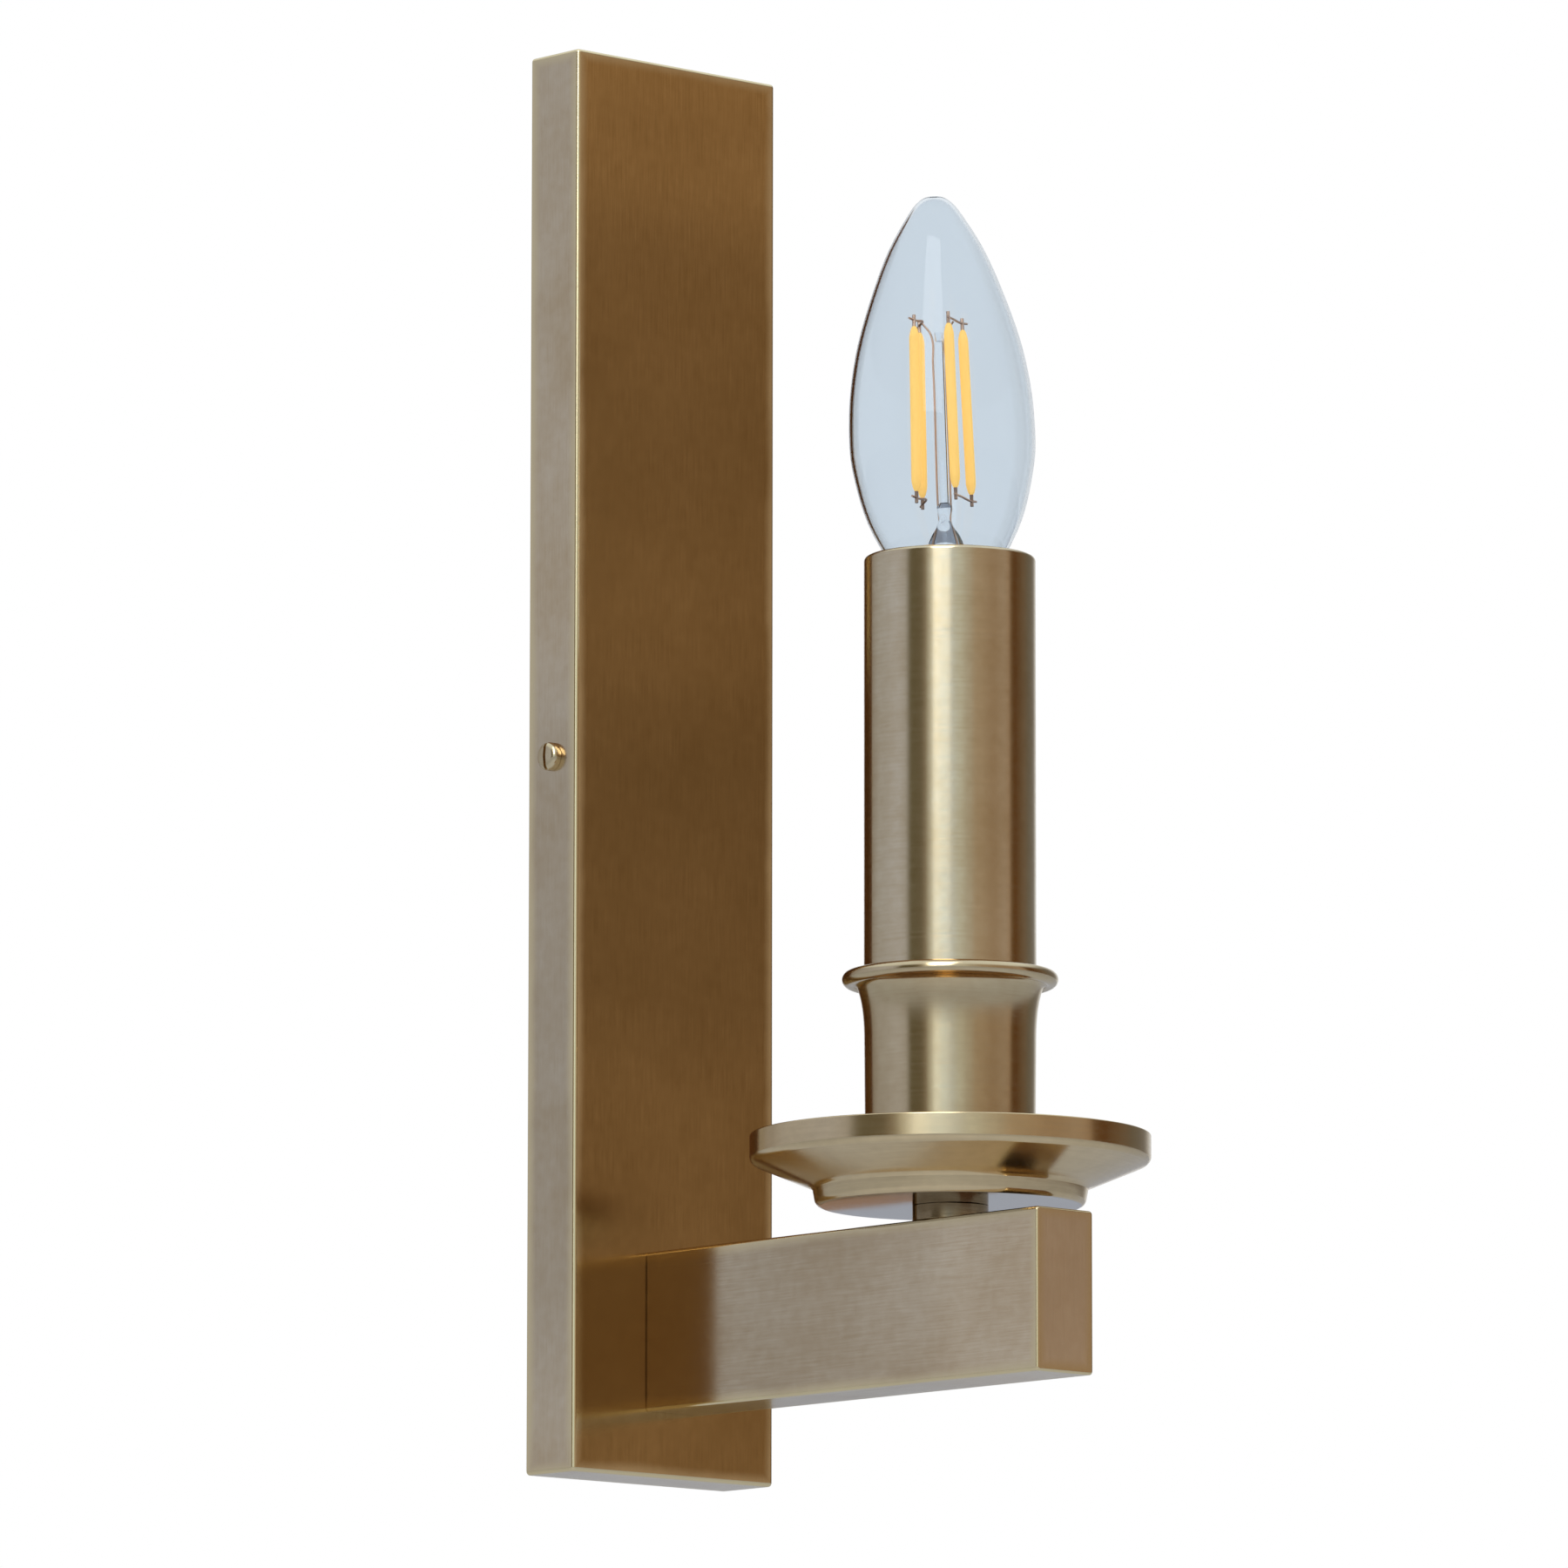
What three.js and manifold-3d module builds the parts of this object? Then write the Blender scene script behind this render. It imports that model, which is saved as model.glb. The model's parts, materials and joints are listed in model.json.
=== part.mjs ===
// Candle-style wall light: a tall wall plate, one rectangular arm, a turned drip pan and cup,
// a candle tube and a candle-shaped filament lamp in an E14 holder.
// Millimetres. The wall is the plane y = 0 and the light stands out along -Y, with +Z up.
// The origin is on the wall, at the middle of the bracket.
import * as THREE from 'three';
import { mergeVertices } from 'three/addons/utils/BufferGeometryUtils.js';
import Module from 'manifold-3d';

const wasm = await Module();
wasm.setup();

// ---------------------------------------------------------------- driving dimensions

// wall plate
const coverHeight = 274;
const coverWidth = 51;
const coverDepth = 13.5;
const coverWall = 1.2;
const coverCornerRadius = 0.8;

// bracket behind the plate
const bracketThickness = 1.5;
const bracketWidth = 28;
const bracketMargin = 39; // from each end of the plate to the bracket
const bracketEarHeight = 16;
const bracketEarGap = 2.8; // from the ears to the inside of the plate's front
const earClearance = 0.35; // from an ear to the side wall of the cover
const fixingSlotSpacing = 150;
const fixingSlotWidth = 5.2;
const fixingSlotLength = 14;
const cableHoleRadius = 8;
const cableHoleHeight = 36; // its centre above the origin
const earthScrewRadius = 1.8;
const earthScrewDrop = 72; // below the origin, in line with the earth pole

// side screws, M4
const sideScrewRadius = 2;
const sideScrewHeadRadius = 2.7;
const sideScrewHeadHeight = 2.1;
const sideScrewLength = 8;
const sideScrewEdge = 2.8; // from the ears' front edge back to the screw's axis
const screwSlotWidth = 0.7;
const screwSlotDepth = 0.9;

// arm
const armWidth = 14.3;
const armHeight = 30.4;
const armOverhang = 30.9; // from the candle's axis to the arm's end
const armWall = 1.5;
const armCornerRadius = 0.7;
const armMiddleRise = 27.6; // from the plate's lower end up to the arm's middle
const brazeGap = 0.1;
const armBlockLength = 14;
const armScrewRadius = 2;
const armScrewHeadRadius = 3.4;
const armScrewHeadHeight = 2.4;
const armScrewLength = 12;
const armScrewToBushing = 0.7; // between a screw's head and the bushing's flange

// bushing where the wires leave the plate
const bushingBore = 6.6;
const bushingNeckRadius = 3.9;
const bushingFlangeRadius = 5.4;
const bushingFlangeHeight = 1.2;
const bushingNeckLength = 4;

// candle stack: M8 nipple, collar, pan, cup, washer and nut
const candleReach = 77.1; // from the plate to the candle's axis
const nippleRadius = 4;
const nippleBore = 5.6;
const nippleInBlock = 7;
const nippleInStalk = 3.6;
const threadBlockLength = 18;
const threadBlockHeight = 8;
const collarRadius = 7.1;
const collarHeight = 2.9;
const washerRadius = 9;
const washerHeight = 1;
const nutAcrossFlats = 13;
const nutHeight = 3;

// drip pan
const panFootHeight = 3.1;
const panRimRadius = 37.4;
const panOverhang = 12.8; // from the foot out to the rim
const panFootFlare = 0.8;
const panRimHeight = 4;
const panHeight = 13.3;
const panShoulderRadius = 1.5; // roundness between cone and rim
const panWall = 1.4;

// candle cup
const cupBaseInset = 0.3; // the cup's base is this much slimmer than the tube
const cupWaistInset = 0.05;
const cupThroatWiden = 1.3; // and its throat this much wider
const cupFloor = 1.5;
const cupWall = 1.2;
const cupHeight = 41.1; // from the pan to the middle of the bead
const cupFlareHeight = 9;
const beadWiden = 4.1;
const beadSection = 1.45;
const cupRecess = 2.9; // from the middle of the bead down to the shoulder that carries the tube

// candle tube
const tubeWall = 1.1;
const tubeLength = 82.7;
const tubeClearance = 0.25;
const tubeRoom = 2.4; // between the lampholder and the inside of the tube

// E14 lampholder
const holderRadius = 12.6;
const holderTopHeight = 16.8; // above the lamp's contact tip
const holderFloor = 3;
const holderFloorDrop = 3; // floor below the contact tip
const holderChamberHeight = 8;
const holderChamberRadius = 10.6;
const shellBore = 7.25;
const shellWall = 0.35;
const stalkRadius = 7;
const stalkWall = 1;
const stalkBase = 4;
const stalkFlange = 2.5;
const contactGap = 0.3;

// lamp: E14 cap and candle-shaped glass
const lampLength = 100.1; // from contact tip to the top of the glass
const glassRadius = 17.5;
const glassWidestHeight = 54;
const glassWall = 0.8;
const glassNeckRadius = 7;
const glassLean = 1.9; // degrees: the glass is cemented slightly off straight in its cap
const leanDirection = 137.8; // degrees from +X towards +Y
const leanPivotHeight = 12;
const capThreadRadius = 6.95;
const capThreadTop = 17.4;
const capSkirtRadius = 8.5;
const capTop = 24.4;
const capWall = 0.4;
const capBottom = 4;
const capLipRadius = 6.1;
const tipRadius = 2.3;
const tipHeight = 1.2;
const insulatorGap = 0.3;
const filamentRadius = 0.95;
const filamentPinRadius = 0.35;
const filamentLength = 31.5;
const filamentPinLength = 2.2;
const filamentBottomHeight = 43.3;
const filamentCircleBottom = 6;
const filamentCircleTop = 5.3;
const filamentAngles = [-12.2, 89.8, 167.8, 247.8]; // degrees from +X towards +Y
const stemTopHeight = 41.3;
const stemRodRadius = 0.85; // the clear rod that stands up between the filaments
const stemRodLength = 31;
const wireRadius = 0.25;
const supportWireOffset = 1.2;

// wiring
const coreRadius = 1.1;
const terminalPitch = 8;
const terminalBlockHeight = 15;
const terminalBlockGap = 2.18; // from the block to the inside of the plate's front
const terminalBlockDrop = 46; // from the origin down to the block's middle
const terminalTubeRadius = 2.3;
const terminalTubeBore = 1.5;
const terminalScrewRadius = 1.3;
const terminalScrewRecess = 0.5;
const terminalScrewSpacing = 8.4;
const blockScrewRadius = 1.2;
const blockScrewHeadRadius = 2;
const wireGap = 0.3; // between a wire's end and what it is clamped to
const wireOffset = 1.5; // of each wire from the middle of the bushing
const wireOffsetInNipple = 1.3;

const clearance = 0.15; // radial clearance of a screw or thread in its hole
const fine = 32; // sides of a large turned piece
const medium = 24;
const coarse = 16;
const small = 10;

// ---------------------------------------------------------------- places worked out from them

const coverFront = -coverDepth;
const coverInside = coverFront + coverWall;
const bracketHeight = coverHeight - 2 * bracketMargin;
const bracketEarDepth = -coverInside - bracketEarGap;
const sideScrewInset = bracketEarDepth - sideScrewEdge;
const armDrop = coverHeight / 2 - armMiddleRise;
const armReach = candleReach + armOverhang;
const armScrewSpacing = 2 * (bushingFlangeRadius + armScrewHeadRadius + armScrewToBushing);
const armTop = -armDrop + armHeight / 2;
const armEnd = coverFront - armReach;
const armInnerWidth = armWidth - 2 * armWall;
const armInnerHeight = armHeight - 2 * armWall;
const candleY = coverFront - candleReach;
const tubeRadius = holderRadius + tubeRoom + tubeWall;
const cupBaseRadius = tubeRadius - cupBaseInset;
const cupWaistRadius = tubeRadius - cupWaistInset;
const cupThroatRadius = tubeRadius + cupThroatWiden;
const beadRadius = tubeRadius + beadWiden;
const panFootRadius = panRimRadius - panOverhang;
const panFootTopRadius = panFootRadius + panFootFlare;
const panBottom = armTop + collarHeight;
const cupBottom = panBottom + panWall;
const beadHeight = cupBottom + cupHeight;
const washerBottom = cupBottom + cupFloor;
const nutBottom = washerBottom + washerHeight;
const stalkBottom = nutBottom + nutHeight;
const tubeBottom = beadHeight - cupRecess;
const tubeTop = tubeBottom + tubeLength;
const nippleBottom = armTop - armWall - nippleInBlock;
const nippleTop = stalkBottom + nippleInStalk;
const lampTip = 0; // the contact tip's height sets the lamp's own zero
const holderFloorTop = lampTip - holderFloorDrop;
const holderFloorBottom = holderFloorTop - holderFloor;
const holderBottom = holderFloorBottom - holderChamberHeight;

// ---------------------------------------------------------------- solids

// A closed geometry as a manifold solid.
function toSolid(geometry) {
  const bare = geometry.clone();
  bare.deleteAttribute('normal');
  bare.deleteAttribute('uv');
  const merged = mergeVertices(bare, 1e-4);
  return new wasm.Manifold(
    new wasm.Mesh({
      numProp: 3,
      vertProperties: merged.attributes.position.array,
      triVerts: new Uint32Array(merged.index.array),
    }),
  );
}

function toGeometry(solid) {
  const mesh = solid.getMesh();
  const geometry = new THREE.BufferGeometry();
  geometry.setAttribute('position', new THREE.BufferAttribute(mesh.vertProperties, 3));
  geometry.setIndex(new THREE.BufferAttribute(mesh.triVerts, 1));
  return geometry;
}

// First geometry less every other one.
function cut(geometry, ...tools) {
  return toGeometry(tools.reduce((solid, tool) => solid.subtract(toSolid(tool)), toSolid(geometry)));
}

// All geometries joined into one.
function join(geometry, ...others) {
  return toGeometry(others.reduce((solid, other) => solid.add(toSolid(other)), toSolid(geometry)));
}

// A block between two corners.
function block(low, high) {
  const geometry = new THREE.BoxGeometry(high[0] - low[0], high[1] - low[1], high[2] - low[2]);
  return geometry.translate(
    (low[0] + high[0]) / 2,
    (low[1] + high[1]) / 2,
    (low[2] + high[2]) / 2,
  );
}

// A round bar along X, Y or Z through a centre point, from one coordinate to another.
function bar(axis, radius, centre, from, to, sides = coarse) {
  const geometry = new THREE.CylinderGeometry(radius, radius, to - from, sides);
  const middle = (from + to) / 2;
  if (axis === 'x') return geometry.rotateZ(-Math.PI / 2).translate(middle, centre[0], centre[1]);
  if (axis === 'y') return geometry.translate(centre[0], middle, centre[1]);
  return geometry.rotateX(Math.PI / 2).translate(centre[0], centre[1], middle);
}

// A turned solid about Z from a profile of [radius, height] points, walked outside upwards.
function turned(profile, sides = fine) {
  const points = profile.map(([radius, height]) => new THREE.Vector2(radius, height));
  const closed = points[0].x > 0 ? [...points, points[0].clone()] : points;
  return new THREE.LatheGeometry(closed, sides).rotateX(Math.PI / 2);
}

// A ring with square edges, turned about Z.
function ring(outer, inner, bottom, top, sides = fine) {
  return turned([[inner, bottom], [outer, bottom], [outer, top], [inner, top]], sides);
}

// An arc of profile points about a centre, between two angles in degrees.
function arc(centre, radius, from, to, steps) {
  const points = [];
  for (let i = 0; i <= steps; i += 1) {
    const angle = THREE.MathUtils.degToRad(from + ((to - from) * i) / steps);
    points.push([centre[0] + radius * Math.cos(angle), centre[1] + radius * Math.sin(angle)]);
  }
  return points;
}

// A rectangle with round corners, centred on the origin, as a shape.
function roundedRectangle(width, height, radius) {
  const shape = new THREE.Shape();
  const x = width / 2 - radius;
  const y = height / 2 - radius;
  shape.absarc(x, y, radius, 0, Math.PI / 2);
  shape.absarc(-x, y, radius, Math.PI / 2, Math.PI);
  shape.absarc(-x, -y, radius, Math.PI, Math.PI * 1.5);
  shape.absarc(x, -y, radius, Math.PI * 1.5, Math.PI * 2);
  return shape;
}

// A shape drawn in X and Z, pushed out along -Y from one distance to another.
function pushed(shape, from, to, height = 0) {
  const geometry = new THREE.ExtrudeGeometry(shape, {
    depth: from - to,
    bevelEnabled: false,
    curveSegments: 3,
  });
  return geometry.rotateX(Math.PI / 2).translate(0, from, height);
}

// A round cord along a smooth curve through points.
function cord(points, radius, steps, sides = 8) {
  const route = new THREE.CatmullRomCurve3(
    points.map((point) => new THREE.Vector3(...point)),
    false,
    'centripetal',
  );
  const section = new THREE.Shape();
  for (let i = 0; i < sides; i += 1) {
    const angle = (i / sides) * Math.PI * 2;
    if (i === 0) section.moveTo(radius * Math.cos(angle), radius * Math.sin(angle));
    else section.lineTo(radius * Math.cos(angle), radius * Math.sin(angle));
  }
  section.closePath();
  return new THREE.ExtrudeGeometry(section, { steps, extrudePath: route });
}

// ---------------------------------------------------------------- materials

const finishes = {
  brass: [0x9c8a63, 0.38, 1],
  paleBrass: [0xb3a27c, 0.35, 1],
  darkBrass: [0x5d4c30, 0.4, 1],
  steel: [0xa9a9a6, 0.45, 1],
  brassPlain: [0xb89a52, 0.35, 1],
  whitePlastic: [0xe6e3da, 0.5, 0],
  blackPlastic: [0x25252a, 0.5, 0],
  glass: [0xcfdbe6, 0.05, 0],
  blackGlass: [0x151518, 0.2, 0],
  phosphor: [0xf7c65a, 0.6, 0],
  nickel: [0xc9c6bd, 0.3, 1],
  board: [0x2f6b45, 0.6, 0],
  liveBrown: [0x6a3f24, 0.5, 0],
  neutralBlue: [0x2f5f9c, 0.5, 0],
  earthGreen: [0x5b8f3a, 0.5, 0],
};

function piece(name, geometry, finish) {
  const [color, roughness, metalness] = finishes[finish];
  const mesh = new THREE.Mesh(
    geometry,
    new THREE.MeshStandardMaterial({ color, roughness, metalness }),
  );
  mesh.name = name;
  return mesh;
}

// ---------------------------------------------------------------- wall plate and bracket

function coverGeometry() {
  const outside = roundedRectangle(coverWidth, coverHeight, coverCornerRadius);
  const innerWidth = coverWidth - 2 * coverWall;
  const innerHeight = coverHeight - 2 * coverWall;
  const shell = cut(
    pushed(outside, 0, coverFront),
    block(
      [-innerWidth / 2, coverInside, -innerHeight / 2],
      [innerWidth / 2, 1, innerHeight / 2],
    ),
  );
  const wallHoles = [
    bar('y', bushingNeckRadius + clearance, [0, -armDrop], coverFront - 1, coverInside + 1),
    ...[-1, 1].map((side) =>
      bar(
        'y',
        armScrewRadius + clearance,
        [0, -armDrop + (side * armScrewSpacing) / 2],
        coverFront - 1,
        coverInside + 1,
      ),
    ),
    bar(
      'x',
      sideScrewRadius + clearance,
      [-sideScrewInset, 0],
      -coverWidth / 2 - 1,
      coverWidth / 2 + 1,
    ),
  ];
  return cut(shell, ...wallHoles);
}

function bracketGeometry() {
  const earX = coverWidth / 2 - coverWall - earClearance;
  const strip = block(
    [-bracketWidth / 2, -bracketThickness, -bracketHeight / 2],
    [bracketWidth / 2, 0, bracketHeight / 2],
  );
  const bridge = block(
    [-earX, -bracketThickness, -bracketEarHeight / 2],
    [earX, 0, bracketEarHeight / 2],
  );
  const ears = [-1, 1].map((side) =>
    block(
      [Math.min(side * earX, side * (earX - bracketThickness)), -bracketEarDepth, -bracketEarHeight / 2],
      [Math.max(side * earX, side * (earX - bracketThickness)), 0, bracketEarHeight / 2],
    ),
  );
  const slots = [-1, 1].map((side) => {
    const slot = roundedRectangle(fixingSlotWidth, fixingSlotLength, fixingSlotWidth / 2 - 0.01);
    return pushed(slot, 1, -bracketThickness - 1, (side * fixingSlotSpacing) / 2);
  });
  return cut(
    join(strip, bridge, ...ears),
    ...slots,
    bar('y', cableHoleRadius, [0, cableHoleHeight], -bracketThickness - 1, 1, medium),
    bar('x', sideScrewRadius + clearance, [-sideScrewInset, 0], -earX - 1, earX + 1),
    bar('y', earthScrewRadius + clearance, [terminalPitch, -earthScrewDrop], -bracketThickness - 1, 1),
    bar('y', blockScrewRadius + clearance, [terminalPitch / 2, -terminalBlockDrop],
      -bracketThickness - 1, 1),
  );
}

// A slotted side screw whose head seats on the plate's side. side is -1 for left, 1 for right.
function sideScrew(name, side) {
  const seat = coverWidth / 2 + 0.02;
  const head = turned(
    [
      [0, seat],
      [sideScrewHeadRadius, seat],
      [sideScrewHeadRadius, seat + sideScrewHeadHeight * 0.6],
      [sideScrewHeadRadius * 0.82, seat + sideScrewHeadHeight * 0.92],
      [0, seat + sideScrewHeadHeight],
    ],
    medium,
  );
  const shank = bar('z', sideScrewRadius, [0, 0], seat - sideScrewLength, seat + 0.5);
  const slot = block(
    [-sideScrewHeadRadius - 1, -screwSlotWidth / 2, seat + sideScrewHeadHeight - screwSlotDepth],
    [sideScrewHeadRadius + 1, screwSlotWidth / 2, seat + sideScrewHeadHeight + 1],
  );
  const geometry = cut(join(head, shank), slot)
    .rotateY((side * Math.PI) / 2)
    .translate(0, -sideScrewInset, 0);
  return piece(name, geometry, 'darkBrass');
}

// A cylinder-head screw along Y whose head's underside is at seat, pointing back to the wall.
function screwAlongY(centre, radius, headRadius, headHeight, seat, tip, sides = coarse) {
  return join(
    bar('y', headRadius, centre, seat - headHeight, seat, sides),
    bar('y', radius, centre, seat - headHeight / 2, tip, sides),
  );
}

function wallParts() {
  const earthScrew = screwAlongY(
    [terminalPitch, -earthScrewDrop],
    earthScrewRadius,
    earthScrewRadius * 1.8,
    1.8,
    -bracketThickness - 0.6,
    -0.3,
  );
  return [
    piece('wall_bracket', bracketGeometry(), 'steel'),
    piece('backplate_cover', coverGeometry(), 'brass'),
    sideScrew('side_screw_left', -1),
    sideScrew('side_screw_right', 1),
    piece('bracket_earth_screw', earthScrew, 'brassPlain'),
  ];
}

// ---------------------------------------------------------------- terminal block and wires

const poles = [-1, 0, 1];
const blockBack = -bracketThickness - 0.02;
const blockFront = coverInside + terminalBlockGap;
const blockMiddleY = (blockBack + blockFront) / 2;
const blockLow = -terminalBlockDrop - terminalBlockHeight / 2;
const blockHigh = blockLow + terminalBlockHeight;

function terminalBlockGeometry() {
  const halfWidth = terminalPitch * 1.5;
  const bores = poles.map((pole) =>
    bar('z', terminalTubeRadius + clearance, [pole * terminalPitch, blockMiddleY],
      blockLow - 1, blockHigh + 1, small),
  );
  const wells = poles.flatMap((pole) =>
    [-1, 1].map((side) => {
      const height = -terminalBlockDrop + (side * terminalScrewSpacing) / 2;
      return bar('y', terminalScrewRadius + clearance * 2, [pole * terminalPitch, height],
        blockFront - 1, blockMiddleY, small);
    }),
  );
  return cut(
    block([-halfWidth, blockFront, blockLow], [halfWidth, blockBack, blockHigh]),
    ...bores,
    ...wells,
    bar('y', blockScrewRadius + clearance, [terminalPitch / 2, -terminalBlockDrop],
      blockFront - 1, 1, small),
  );
}

// One pole: its brass tube and its two clamping screws.
function terminalPole(pole) {
  const x = pole * terminalPitch;
  const heights = [-1, 1].map((side) => -terminalBlockDrop + (side * terminalScrewSpacing) / 2);
  const number = pole + 2;
  const inset = 1;
  const tube = ring(terminalTubeRadius, terminalTubeBore, blockLow + inset, blockHigh - inset, small)
    .translate(x, blockMiddleY, 0);
  const holes = heights.map((height) =>
    bar('y', terminalScrewRadius + clearance, [x, height], blockFront, blockMiddleY, small),
  );
  const tip = blockMiddleY - coreRadius - wireGap;
  return [
    piece(`terminal_tube_${number}`, cut(tube, ...holes), 'brassPlain'),
    ...heights.map((height, index) =>
      piece(
        `terminal_screw_${number}${index ? 'b' : 'a'}`,
        bar('y', terminalScrewRadius, [x, height], blockFront + terminalScrewRecess, tip, small),
        'nickel',
      ),
    ),
  ];
}

function terminalParts() {
  const fixingScrew = screwAlongY(
    [terminalPitch / 2, -terminalBlockDrop],
    blockScrewRadius,
    blockScrewHeadRadius,
    1.2,
    blockFront - 0.02,
    -0.3,
    small,
  );
  return [
    piece('terminal_block', terminalBlockGeometry(), 'whitePlastic'),
    piece('terminal_block_screw', fixingScrew, 'nickel'),
    ...poles.flatMap(terminalPole),
  ];
}

// The route of one lamp wire: down inside the plate, through the bushing, along the arm
// and up the nipple and stalk to its contact. side is -1 for live and 1 for neutral.
function lampWireRoute(side, poleX, endX) {
  const x = side * wireOffset;
  const inNipple = side * wireOffsetInNipple;
  const rise = candleY;
  return [
    [poleX, blockMiddleY, blockLow + 5],
    [poleX, blockMiddleY, blockLow - 4],
    [poleX * 0.7 + x * 0.3, blockMiddleY - 0.6, blockLow - 18],
    [poleX * 0.2 + x * 0.8, blockMiddleY - 1.4, -armDrop + 14],
    [x, coverInside + 4.6, -armDrop + 5.4],
    [x, coverInside + 2.6, -armDrop + 1.2],
    [x, coverInside - 0.4, -armDrop],
    [x, coverInside - 4.4, -armDrop],
    [x, coverFront - 12, -armDrop - 0.4],
    [x, coverFront - candleReach * 0.5, -armDrop - 3],
    [x, rise + 12, -armDrop - 3.4],
    [x * 0.95, rise + 4, -armDrop - 0.8],
    [inNipple, rise, nippleBottom - 2],
    [inNipple, rise, nippleBottom + 6],
    [inNipple, rise, nippleTop + 2],
    [inNipple * 1.3, rise, (nippleTop + holderBottom) / 2],
    [endX * 0.6, rise, holderBottom - 8],
    [endX * 0.9, rise, holderBottom - 0.5],
    [endX, rise, holderBottom + holderChamberHeight - 1.5],
  ];
}

function wireParts() {
  const liveEnd = -(contactShankRadius + wireGap + coreRadius);
  const neutralEnd = shellLegInside - wireGap - coreRadius;
  const earthRoute = [
    [terminalPitch, blockMiddleY, blockLow + 5],
    [terminalPitch, blockMiddleY, blockLow - 4],
    [terminalPitch, blockMiddleY + 0.8, blockLow - 9],
    [terminalPitch, -bracketThickness - 2.2, -earthScrewDrop + earthScrewRadius * 1.8 + wireGap],
  ];
  return [
    piece('live_wire', cord(lampWireRoute(-1, -terminalPitch, liveEnd), coreRadius, 46), 'liveBrown'),
    piece('neutral_wire', cord(lampWireRoute(1, 0, neutralEnd), coreRadius, 46), 'neutralBlue'),
    piece('earth_wire', cord(earthRoute, coreRadius, 6), 'earthGreen'),
  ];
}

// ---------------------------------------------------------------- arm

function armParts() {
  const outline = roundedRectangle(armWidth, armHeight, armCornerRadius);
  const candleHole = (radius, from, to) => bar('z', radius, [0, candleY], from, to, medium);
  const tube = cut(
    pushed(outline, coverFront, armEnd + armWall, -armDrop),
    block(
      [-armInnerWidth / 2, armEnd, -armDrop - armInnerHeight / 2],
      [armInnerWidth / 2, coverFront + 1, -armDrop + armInnerHeight / 2],
    ),
    candleHole(nippleRadius + clearance, armTop - armWall - 1, armTop + 1),
  );
  const fitX = armInnerWidth / 2 - brazeGap;
  const fitZ = armInnerHeight / 2 - brazeGap;
  const mountBlock = cut(
    block(
      [-fitX, coverFront - armBlockLength, -armDrop - fitZ],
      [fitX, coverFront, -armDrop + fitZ],
    ),
    bar('y', bushingNeckRadius + clearance, [0, -armDrop], coverFront - armBlockLength - 1, coverFront + 1),
    ...[-1, 1].map((side) =>
      bar('y', armScrewRadius + clearance, [0, -armDrop + (side * armScrewSpacing) / 2],
        coverFront - armBlockLength - 1, coverFront + 1),
    ),
  );
  const threadTop = armTop - armWall - brazeGap;
  const threadBlock = cut(
    block(
      [-fitX, candleY - threadBlockLength / 2, threadTop - threadBlockHeight],
      [fitX, candleY + threadBlockLength / 2, threadTop],
    ),
    candleHole(nippleRadius + clearance, threadTop - threadBlockHeight - 1, threadTop + 1),
  );
  const armScrews = [-1, 1].map((side) =>
    piece(
      side < 0 ? 'arm_screw_lower' : 'arm_screw_upper',
      join(
        bar('y', armScrewHeadRadius, [0, -armDrop + (side * armScrewSpacing) / 2],
          coverInside + 0.02, coverInside + armScrewHeadHeight),
        bar('y', armScrewRadius, [0, -armDrop + (side * armScrewSpacing) / 2],
          coverInside - armScrewLength, coverInside + 1),
      ),
      'nickel',
    ),
  );
  const bushing = turned([
    [bushingBore / 2, -bushingNeckLength],
    [bushingNeckRadius, -bushingNeckLength],
    [bushingNeckRadius, 0.02],
    [bushingFlangeRadius, 0.02],
    [bushingFlangeRadius, bushingFlangeHeight],
    [bushingBore / 2, bushingFlangeHeight],
  ], coarse).rotateX(-Math.PI / 2).translate(0, coverInside, -armDrop);
  return [
    piece('arm_tube', tube, 'brass'),
    piece('arm_end_cap', pushed(outline, armEnd + armWall, armEnd, -armDrop), 'brass'),
    piece('arm_mount_block', mountBlock, 'brassPlain'),
    piece('thread_block', threadBlock, 'brassPlain'),
    ...armScrews,
    piece('wire_bushing', bushing, 'blackPlastic'),
  ];
}

// ---------------------------------------------------------------- candle stack

// The pan: a foot band, a cone up to a rounded shoulder and an upright rim, with an even wall.
function panProfile() {
  const bottom = panBottom;
  const top = bottom + panHeight;
  const rimLow = top - panRimHeight;
  const footTop = bottom + panFootHeight;
  const hole = nippleRadius + clearance;
  const shoulder = arc([panRimRadius - panShoulderRadius, rimLow], panShoulderRadius, -66, 0, 3);
  const innerShoulder = arc(
    [panRimRadius - panShoulderRadius, rimLow + 0.3],
    panShoulderRadius - panWall,
    0,
    -66,
    2,
  );
  return [
    [hole, bottom],
    [panFootRadius, bottom],
    [panFootTopRadius, footTop],
    ...shoulder,
    [panRimRadius, top],
    [panRimRadius - panWall, top],
    ...innerShoulder,
    [panFootTopRadius - 0.6, footTop + panWall],
    [panFootRadius - panWall, bottom + panWall],
    [hole, bottom + panWall],
  ];
}

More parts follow.
